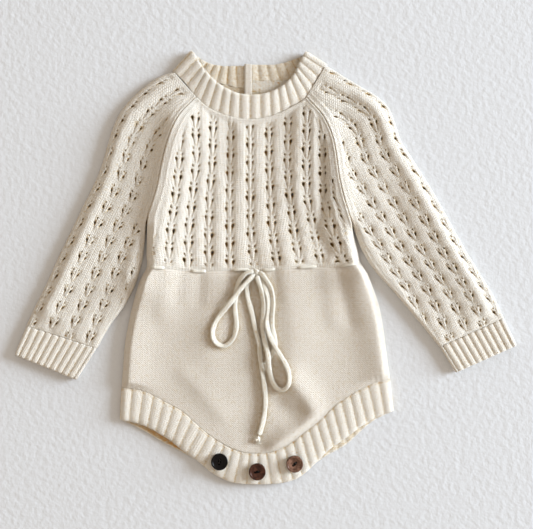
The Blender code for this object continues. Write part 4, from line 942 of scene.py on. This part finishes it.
def makeSleeve(name, node, stations, table):
    places = np.array([place for place, _ in stations])
    anchor = np.array(table["anchor"])
    offLine = []
    for _, row in stations:
        way = np.array(row[:2]) - np.array(row[2:4])
        off = anchor - row[:2]
        offLine.append(abs(off[0] * way[1] - off[1] * way[0]) / np.linalg.norm(way))
    anchorPlace = places[int(np.argmin(offLine))]
    sections = []
    for place, row in stations:
        first = np.interp(place, table["places"], table["first"])
        spacing = np.interp(place, table["places"], table["spacing"])
        rise = 0.8 * float(smoothStep(min(place, places[-1] - place) / 14))
        seam, across, out, ins, column, side, closed, width = sleeveSection(row, first, spacing, rise)
        count = len(column)
        downward = np.array([across[1], -across[0]])
        if downward[1] > 0:
            downward = -downward
        sections.append((
            np.column_stack([seam + out[:, :1] * across, out[:, 1]]),
            np.column_stack([seam + ins[:, :1] * across, ins[:, 1]]), column, np.full(count, place), side,
            out[:, 0], np.full(count, closed), np.full(count, width), np.tile(across, (count, 1)),
            np.tile(downward, (count, 1))))
    perRow = len(sections[0][0])
    (outer, inner, column, place, top, w, closed, width, acrossWay,
     downWay) = (np.concatenate(k) for k in zip(*sections))
    spacing = np.interp(place, table["places"], table["spacing"])
    faces = gridFaces(len(stations), perRow)
    cell = np.round(column)
    across = -(column - cell) * spacing
    along = ((anchorPlace - table["shift"] * (cell - 1)) - place) * lace["repeat"] / table["repeat"]
    joined = 1 - closed
    fade = smoothStep((w - 3 - 3 * joined) / 3) * smoothStep((place - 3) / 3)
    fade *= smoothStep((places[-1] - place - 0.5) / 2.5)
    fade *= np.where(top == 0, 0.4, 1)
    keep = (fade > lace["cutOver"]) & (top == 1)
    faces, moveX, moveY = cutEyelets(across, along, cell, faces, keep, lace["sleeve"])
    bud, budShade = budForm(across + moveX, along + moveY, cell)
    plait, plaitShade = laceForm(across + moveX, along + moveY, cell)
    lower = smoothStep((place - sleeve["plaits"]) / 30)
    height, deepShade = bud * lower + plait * (1 - lower), budShade * lower + plaitShade * (1 - lower)
    shift = acrossWay * moveX[:, None] - downWay * moveY[:, None] * table["repeat"] / lace["repeat"]
    outer[:, :2] += shift
    inner[:, :2] += shift
    height = (height - 0.1) * fade + cloth["plain"] * (1 - fade)
    ridge = bell(w - 1.1, 0.8) + 0.6 * bell(w - 5.4, 0.9)
    height += (0.6 * ridge - 0.2 * bell(w, 0.45)) * (top == 1) * joined
    height -= 0.2 * bell(place, 1.6) * (top == 1)
    height -= 0.5 * bell(places[-1] - place, 2) * (top == 1)
    # painted shade of the lace, and along the raglan seam's edge
    deepShade = np.clip(deepShade * fade + 0.3 * bell(w, 0.5) * joined, 0, 1)
    lie = foldRise(outer[:, 0], outer[:, 1])
    lie *= smoothStep((width - w) / 12) * (joined + closed * smoothStep(w / 12))
    lie *= smoothStep((places[-1] - place) / 16)
    lie *= smoothStep(awayFrom(frontSeam, outer[:, 0], outer[:, 1]) / bodyWays["collarFade"])
    lie = np.where(top == 1, lie, 0)
    underneath = np.where(top == -1, np.clip(1.0 - height, 0, 1.1) * fade, 0)
    outer[:, 2] += np.where(top == 1, height, underneath) + lie
    inner[:, 2] += np.where(top == 1, height * 0.6 + lie, 0)
    start = sleeve["knitStart"]
    knit = np.stack([start - column * spacing + moveX, start - place + moveY], axis=-1)
    # the inside, seen through the eyelets, has the deepest painted shade
    return makeCloth(name, outer, inner, faces, knit, deepShade, "lace", node, innerPaintedShade=1.0)


for name, node, stations, table in (("sleeveLeft", "sleeve_left", sleeveLeft, sleeveLaceLeft),
                                    ("sleeveRight", "sleeve_right", sleeveRight, sleeveLaceRight)):
    piece = makeSleeve(name, node, stations, table)
print("sleeves are knitted")


def ribUp(part):
    # how high a round rib stands at a place counted in ribs, and how much painted shade its groove gets
    up = (0.5 - 0.5 * np.cos(2 * math.pi * part)) ** 0.4
    return up, np.clip(0.5 - up, 0, 1) * 0.9


# levels go from the seam to the top edge, which stands `topRise` higher than the seam
# the inside at the back of the neck has painted shade: even on its left half, rising towards its right end
collar = {"ribs": 35, "perRib": 8, "depth": 1.0, "wall": 2.6, "frontLift": 0.4, "topRise": 2.4,
          "neckMiddle": (-15.0, 172.0), "insideShade": 0.3, "insideShadeRight": ((0, 38), (0, 0.35)),
          "levels": (0, 0.03, 0.08, 0.16, 0.3, 0.45, 0.6, 0.75, 0.86, 0.93, 0.97, 1.0)}


def makeCollar():
    # one ribbed band that turns from the flat back of the neck over its sides into the front
    table = np.array([row for _, row in smoothRows(collarRows, 0.5)])
    ways = np.linalg.norm(np.diff(table[:, 2:4], axis=0), axis=1)
    ways += np.abs(np.diff(table[:, 4])) * math.pi * cloth["frontInside"]
    along = np.concatenate([[0.0], np.cumsum(ways)])
    count = collar["ribs"] * collar["perRib"] + 1
    corners = []
    for place in np.linspace(0, 1, count):
        row = [np.interp(place * along[-1], along, table[:, k]) for k in range(5)]
        up, low = ribUp(place * collar["ribs"])
        top, seam = np.array(row[:2]), np.array(row[2:4])
        turn = min(1.0, max(0.0, row[4])) * math.pi
        front = (1 - math.cos(turn)) / 2
        away = np.array([-(top - seam)[1], (top - seam)[0]])
        away /= np.linalg.norm(away)
        if away.dot(seam - np.array(collar["neckMiddle"])) < 0:
            away = -away
        length = np.linalg.norm(top - seam)
        for part in collar["levels"]:
            thin = 0.2 * (1 - smoothStep(part / 0.08)) + 1.1 * smoothStep((part - 0.9) / 0.1) ** 2
            lift = collar["frontLift"] if turn > 1 else 0
            radius = (cloth["frontOutside"] + lift + collar["topRise"] * part) / 2
            outerRadius = radius - (collar["depth"] * (1 - up) + thin) * front - thin * 0.4 * (1 - front)
            innerRadius = (radius - collar["wall"] + thin * 0.5
                           - (collar["depth"] * (up - 0.5)) * (1 - front))
            plan = seam * (1 - part) + top * part
            sides = []
            for size in (outerRadius, innerRadius):
                x, y = plan + away * size * math.sin(turn)
                sides.append((x, y, radius - size * math.cos(turn)))
            # painted shade in the rib grooves and on the inside at the back of the neck
            shaded = collar["insideShade"] if x < -15.5 else np.interp(x, *collar["insideShadeRight"])
            corners.append((*sides, (place * along[-1] * 0.93, part * length),
                            low * min(1, part * 12) + (1 - front) * shaded))
    outer, inner, knit, deepShade = columnsOf(corners)
    faces = gridFaces(count, len(collar["levels"]))
    return makeCloth("ribCollar", outer, inner, faces, knit, deepShade, "rib", "collar", innerPaintedShade=0.3)


collarPiece = makeCollar()

cuff = {"ribs": 10, "perRib": 8, "height": 6.6, "depth": 1.0, "wall": 2.6, "step": 1.6}


def cuffSection(row, pinch):
    # round one cuff: ribs on the upper side, round the crease, underneath and back
    fold, seam = np.array(row[:2]), np.array(row[2:4])
    width = np.linalg.norm(fold - seam)
    across = (fold - seam) / width
    radius = cuff["height"] / 2
    inset = cuff["wall"] - cuff["depth"] / 2
    flat = width - 2 * radius
    total = 2 * flat + 2 * math.pi * radius
    count = (2 * cuff["ribs"] + 2) * cuff["perRib"]
    points = []
    for k in range(count):
        way = total * k / count
        up, low = ribUp(k / cuff["perRib"])
        down = cuff["depth"] * (1 - up) + pinch
        if way < flat:
            w, z, normal = radius + way, 2 * radius, (0, 1)
        elif way < flat + math.pi * radius:
            turn = (way - flat) / radius
            normal = (math.sin(turn), math.cos(turn))
            w, z = width - radius + radius * normal[0], radius + radius * normal[1]
        elif way < 2 * flat + math.pi * radius:
            w, z, normal = width - radius - (way - flat - math.pi * radius), 0, (0, -1)
        else:
            turn = math.pi + (way - 2 * flat - math.pi * radius) / radius
            normal = (math.sin(turn), math.cos(turn))
            w, z = radius + radius * normal[0], radius + radius * normal[1]
        points.append(((w - normal[0] * down, max(0.0, z - normal[1] * down)),
                       (w - normal[0] * inset, z - normal[1] * inset), way, low))
    outer, inner, knit, deepShade = columnsOf(points)
    return (np.column_stack([seam + outer[:, :1] * across, outer[:, 1]]),
            np.column_stack([seam + inner[:, :1] * across, inner[:, 1]]), knit, deepShade)


def makeCuff(name, node, sleeveEnd, cuffEnd):
    rows = smoothRows([sleeveEnd, cuffEnd], cuff["step"], start=cloth["join"])
    sections = []
    for place, row in rows:
        ends = min(place - rows[0][0], rows[-1][0] - place)
        pinch = (0.2 if place - rows[0][0] < 3 else 0.5) * (1 - smoothStep(ends / 2.0))
        out, ins, across, low = cuffSection(row, pinch)
        sections.append((out, ins, np.column_stack([across, np.full(len(across), place)]), low))
    outer, inner, knit, deepShade = (np.concatenate(k) for k in zip(*sections))
    faces = gridFaces(len(rows), len(sections[0][0]), ring=True)
    return makeCloth(name, outer, inner, faces, knit, deepShade, "rib", node)


for name, node, start, end in (("cuffLeft", "cuff_left", sleeveLeftRows[-1], cuffEndLeft),
                               ("cuffRight", "cuff_right", sleeveRightRows[-1], cuffEndRight)):
    piece = makeCuff(name, node, start, end)

# levels go from the band's upper to its lower edge, and heights are how far each stands off the front
legBand = {"ribs": 30, "perRib": 8, "depth": 0.8, "inside": 3.1,
           "levels": (0, 0.04, 0.1, 0.2, 0.35, 0.5, 0.65, 0.8, 0.9, 0.96, 1.0),
           "heights": (0.0, 0.15, 0.3, 0.45, 0.5, 0.5, 0.45, 0.3, 0.0, -0.5, -1.2)}


def bandPlaces(count):
    # places along the band: the part of the way, the whole way, and the upper and lower edge
    ways = waysAlong((bandRows[:, :2] + bandRows[:, 2:]) / 2)
    for place in np.linspace(0, 1, count):
        row = [np.interp(place * ways[-1], ways, bandRows[:, k]) for k in range(4)]
        yield place, ways[-1], np.array(row[:2]), np.array(row[2:])


def makeLegBand():
    count = legBand["ribs"] * legBand["perRib"] + 1
    corners = []
    for place, total, upper, lower in bandPlaces(count):
        up, low = ribUp(place * legBand["ribs"])
        end = (1 - min(1.0, min(place, 1 - place) * total / cloth["edge"])) ** 2
        length = np.linalg.norm(lower - upper)
        for part, rise in zip(legBand["levels"], legBand["heights"]):
            x, y = upper * (1 - part) + lower * part
            strong = min(1, 0.4 + part * 8)
            z = cloth["frontOutside"] + rise + legBand["depth"] * (up - 0.6) * strong - 1.6 * end
            inside = max(legBand["inside"] - 0.6 * end, min(z - 1.4, z - 2.4 + 0.4 * up))
            # painted shade in the rib grooves, and along the seam at the upper edge
            shaded = low * min(1, 0.3 + part * 10) + (0.4 * (1 - up) + 0.15) * (part < 0.05)
            corners.append(((x, y, z), (x, y, inside), (place * total, part * length), shaded))
    outer, inner, knit, deepShade = columnsOf(corners)
    faces = gridFaces(count, len(legBand["levels"]))
    return makeCloth("frontLegBand", outer, inner, faces, knit, deepShade, "rib", "front_leg_band")


frontLegBand = makeLegBand()


def makeBackLegBand():
    # the back's ribbed band under the front's; its inside shows at each leg, in painted shade that pales at
    # the hem
    count = legBand["ribs"] * 6 + 1
    levels = (0, 0.06, 0.2, 0.4, 0.6, 0.78, 0.88, 0.92, 0.95, 0.975, 1.0)
    hemWays = waysAlong(hemRows)
    corners = []
    for place, total, upper, _ in bandPlaces(count):
        lower = np.array([np.interp(place * hemWays[-1], hemWays, hemRows[:, k]) for k in range(2)])
        up, low = ribUp(place * legBand["ribs"] * 1.05 + 0.3)
        length = np.linalg.norm(lower - upper)
        for part in levels:
            x, y = upper * (1 - part) + lower * part
            edge = smoothStep((part - 0.88) / 0.12)
            # painted shade inside the leg openings, less at the hem's edge
            inside = np.interp(x, (-125, -90, -60, 40), (0.6, 0.95, 0.95, 0.42))
            corners.append(((x, y, 0.35 * (1 - up) + 0.5 * edge), (x, y, 2.5 - 0.7 * (1 - up) - 0.6 * edge),
                            (place * total, part * length), low * 0.8,
                            inside * (1 - 0.85 * smoothStep((part - 0.955) / 0.02))))
    outer, inner, knit, deepShade, inside = columnsOf(corners)
    return makeCloth("backLegBand", outer, inner, gridFaces(count, len(levels)), knit, deepShade, "rib",
                     "back_leg_band", innerPaintedShade=inside)


backLegBand = makeBackLegBand()
print("collar, cuffs and leg bands are ribbed")


# the plain half: its sides at the waist, and each layer's points across and down and its gaps there
seat = {"sides": (-106.8, 84.8), "front": (190, 130), "frontGaps": (-1.2, -0.02), "back": (60, 44),
        "backGaps": (0.2, 0.4), "backInset": 0.6}


def seatGrid(size, gaps, inset=0.0):
    # a grid over the plain half, from the waist to the leg band and from side to side
    (across, down), (topGap, lowGap) = size, gaps
    leftX, rightX = seat["sides"]
    parts = np.linspace(0, 1, across)
    u, v = np.meshgrid(parts, np.linspace(0, 1, down))
    topX = leftX + (rightX - leftX) * parts
    topY = lineHeight(waist, topX) - topGap
    ways = waysAlong(bandRows[:, :2])
    lowX = np.interp(parts * ways[-1], ways, bandRows[:, 0])
    lowY = np.interp(parts * ways[-1], ways, bandRows[:, 1]) + lowGap
    leftY = topY[0] + (lowY[0] - topY[0]) * v
    rightY = topY[-1] + (lowY[-1] - topY[-1]) * v
    x = (topX * (1 - v) + lowX * v + lineSide(bodyLeft, leftY) * (1 - u) + lineSide(bodyRight, rightY) * u
         - ((topX[0] * (1 - u) + topX[-1] * u) * (1 - v) + (lowX[0] * (1 - u) + lowX[-1] * u) * v))
    y = (topY * (1 - v) + lowY * v + leftY * (1 - u) + rightY * u
         - ((topY[0] * (1 - u) + topY[-1] * u) * (1 - v) + (lowY[0] * (1 - u) + lowY[-1] * u) * v))
    x += inset * (1 - 2 * u)
    return x.reshape(-1), y.reshape(-1), gridFaces(down, across)


# the bow's string from above, beside which the cloth gets golden painted shade
bowPlan = [(p[0] / mm, p[1] / mm) for made in cordsMade.values() for p in made[1][::3]]


def makeFrontLower():
    x, y, faces = seatGrid(seat["front"], seat["frontGaps"])
    drop = sideDrop(x, y)
    lie = lieHeight(x, y, fromSides(x, y)) + waistDent(x, y)
    tuck = smoothStep((y - lineHeight(waist, x) + 1.4) / 1.2)
    # painted shade beside the string and at the tuck under the waist
    cordShade = bell(awayFrom(bowPlan, x, y), 5.0)
    z = cloth["frontOutside"] - 1.6 * drop + lie - 0.5 * tuck
    inside = np.maximum(cloth["frontInside"] - 0.7 * drop + np.maximum(lie, -0.8), 2.6)
    inside = np.minimum(inside, z - 1.0)
    return makeCloth("frontLower", np.stack([x, y, z], -1), np.stack([x, y, inside], -1), faces,
                     np.stack([x, y], -1) + cloth["knitStart"], 0.3 * tuck + 0.48 * cordShade, "plain",
                     "front_lower")


frontLowerPiece = makeFrontLower()


def makeBackLower():
    x, y, faces = seatGrid(seat["back"], seat["backGaps"], seat["backInset"])
    top = np.full_like(x, cloth["backTop"])
    return makeCloth("backLower", np.stack([x, y, 0 * x], -1), np.stack([x, y, top], -1), faces,
                     np.stack([x, y], -1) + cloth["knitStart"], 0 * x, "plain", "back_lower")


backLower = makeBackLower()
print("front and back below the waist are knitted")

placket = {"x": (-19.2, -12.6), "y": (152.0, 183.4), "z": (3.35, 4.85), "grid": (12, 40)}


def makePlacket():
    # the underlap of the back slit, 6.6 mm wide
    across, down = placket["grid"]
    u, v = np.meshgrid(np.linspace(0, 1, across), np.linspace(0, 1, down))
    u, v = u.reshape(-1), v.reshape(-1)
    x = placket["x"][0] + (placket["x"][1] - placket["x"][0]) * u
    y = placket["y"][0] + (placket["y"][1] - placket["y"][0]) * v
    edge = smoothStep(np.minimum(u, 1 - u) / 0.2)
    z = placket["z"][1] + 0.35 * edge - 0.35
    bottom = placket["z"][0] + 0.3 * (1 - edge)
    return makeCloth("placket", np.stack([x, y, z], -1), np.stack([x, y, bottom], -1),
                     gridFaces(down, across), np.stack([x, y], -1) + cloth["knitStart"], 0 * x, "plain",
                     "back_placket", innerPaintedShade=0.2)


makePlacket()

# twisted polyester, with a dull surface and fine plies `ply` mm apart; the bands of a wave texture are a
# tenth of pi apart at scale 1
sewing = {"color": "#20160d", "roughness": 0.8, "ply": 0.35, "relief": 0.08}
thread, twist = newMaterial("dark brown sewing thread", {"Base Color": hexColor(sewing["color"]),
                                                         "Roughness": sewing["roughness"]})
where = addNode(thread, "TexCoord").outputs["Object"]
plies = addNode(thread, "TexWave", {"Vector": where, "Scale": 0.1 * math.pi * scaleOf(sewing["ply"])})
plug(twist, {"Normal": addNode(thread, "Bump", {"Height": plies.outputs["Fac"],
                                                "Distance": sewing["relief"] * mm})})

# polished horn: its streaks' size, and between which heights in mm the black painted shade in the slot turns
# to horn
horn = {"roughness": 0.28, "streak": 3.125, "stops": (0.38, 0.68), "slotShadeTop": (9.0, 9.4), "specular": 0.17}


def hornMaterial(name, dark, mid):
    # turned and polished horn: dark, with faint streaks; down in the slot and on the lower sides, painted
    # shade makes it black and dulls its reflection
    material, shader = newMaterial(name, {"Roughness": horn["roughness"]})
    where = addNode(material, "TexCoord").outputs["Object"]
    streak = addNode(material, "TexNoise", {"Vector": where, "Scale": scaleOf(horn["streak"]),
                                            "Detail": 4.0, "Distortion": 1.2})
    ramp = addNode(material, "ValToRGB", {"Fac": streak.outputs["Fac"]})
    for element, position, color in zip(ramp.color_ramp.elements, horn["stops"], (dark, mid)):
        element.position = position
        element.color = hexColor(color)
    place = addNode(material, "SeparateXYZ", {"Vector": where})
    low, high = horn["slotShadeTop"]
    clearOfSlotShade = addNode(material, "MapRange", {"Value": place.outputs["Z"], "From Min": low * mm,
                                               "From Max": high * mm})
    tone = addNode(material, "VectorMath", {0: ramp, "Scale": clearOfSlotShade}, operation="SCALE")
    slotDulledShine = addNode(material, "Math", {0: clearOfSlotShade, 1: horn["specular"]}, operation="MULTIPLY")
    plug(shader, {"Base Color": tone, "Specular IOR Level": slotDulledShine})
    return material


# each inset of the top face is an inset and how far it then goes down: the rim, a step and the dish;
# each place is a name, a node, where the button sits, its turn in degrees and its two colours
button = {"radius": 7.5, "thick": 3.2, "under": 7.14, "round": 0.5,
          "insets": ((1.35, 0), (0.35, 0.45), (1.2, 0.1), (1.3, 0.35)),
          "slot": (3.0, 1.25, 1.6), "slotDown": 0.75, "holes": 1.2, "holeRadius": 0.7,
          "threadLoop": 1.1, "threadRadius": 0.32, "threadHeight": 0.9,
          "places": (("buttonLeft", "button_left", -41.5, -174.5, 80, "#060505", "#120e0d"),
                     ("buttonMiddle", "button_middle", -7.5, -183.5, 12, "#2c1913", "#5a382b"),
                     ("buttonRight", "button_right", 26.0, -176.5, 45, "#543a2e", "#8c6a59"))}


def selectTop(item):
    bpy.ops.mesh.select_all(action="DESELECT")
    bm = bmesh.from_edit_mesh(item.data)
    face = max(bm.faces, key=lambda f: (round(f.calc_center_median().z, 6), f.calc_area()))
    face.select = True
    bm.select_flush_mode()
    bmesh.update_edit_mesh(item.data)


def makeButton(name, node, x, y, turn, dark, mid):
    table = button
    bpy.ops.object.select_all(action="DESELECT")
    bpy.ops.mesh.primitive_cylinder_add(vertices=72, radius=table["radius"] * mm, depth=table["thick"] * mm,
                                        location=(0, 0, table["thick"] / 2 * mm))
    body = bpy.context.object
    body.name = name
    bpy.ops.object.transform_apply(location=True, rotation=True, scale=True)
    bpy.ops.object.mode_set(mode="EDIT")
    bpy.ops.mesh.select_mode(type="FACE")
    selectTop(body)
    for inset, down in table["insets"]:
        bpy.ops.mesh.inset(thickness=inset * mm)
        bpy.ops.transform.translate(value=(0, 0, -down * mm))
    bpy.ops.object.mode_set(mode="OBJECT")
    bevel = body.modifiers.new("rounded edges", "BEVEL")
    bevel.width = table["round"] * mm
    bevel.segments = 4
    bevel.limit_method = "ANGLE"
    bevel.angle_limit = math.radians(35)
    bpy.ops.object.modifier_apply(modifier="rounded edges")
    cutters = []
    for side in (-1, 1):
        bpy.ops.mesh.primitive_cylinder_add(vertices=20, radius=table["holeRadius"] * mm, depth=12 * mm,
                                            location=(side * table["holes"] * mm, 0, 0))
        cutters.append(bpy.context.object)
    bpy.ops.mesh.primitive_uv_sphere_add(segments=32, ring_count=16, radius=mm,
                                         location=(0, 0, (table["thick"] - table["slotDown"]) * mm))
    bpy.context.object.scale = table["slot"]
    cutters.append(bpy.context.object)
    for cutter in cutters:
        cut = body.modifiers.new("hole", "BOOLEAN")
        cut.operation = "DIFFERENCE"
        cut.object = cutter
        bpy.ops.object.select_all(action="DESELECT")
        bpy.context.view_layer.objects.active = body
        body.select_set(True)
        bpy.ops.object.modifier_apply(modifier="hole")
        bpy.data.objects.remove(cutter)
    bpy.ops.object.shade_smooth_by_angle(angle=math.radians(35))
    body.data.materials.append(hornMaterial(f"turned horn {name}", dark, mid))
    bpy.ops.mesh.primitive_torus_add(major_segments=28, minor_segments=8,
                                     major_radius=table["threadLoop"] * mm,
                                     minor_radius=table["threadRadius"] * mm,
                                     location=(0, 0, table["threadHeight"] * mm),
                                     rotation=(math.pi / 2, 0, 0))
    stitch = bpy.context.object
    stitch.data.materials.append(thread)
    bpy.ops.object.shade_smooth()
    bpy.ops.object.select_all(action="DESELECT")
    stitch.select_set(True)
    body.select_set(True)
    bpy.context.view_layer.objects.active = body
    bpy.ops.object.join()
    body.location = (x * mm, y * mm, table["under"] * mm)
    body.rotation_euler = (0, 0, math.radians(turn))
    bpy.ops.object.transform_apply(location=True, rotation=True, scale=True)
    bpy.ops.object.select_all(action="DESELECT")
    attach(body, "root")
    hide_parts(node)


for place in button["places"]:
    makeButton(*place)
print("buttons are turned and sewn on")
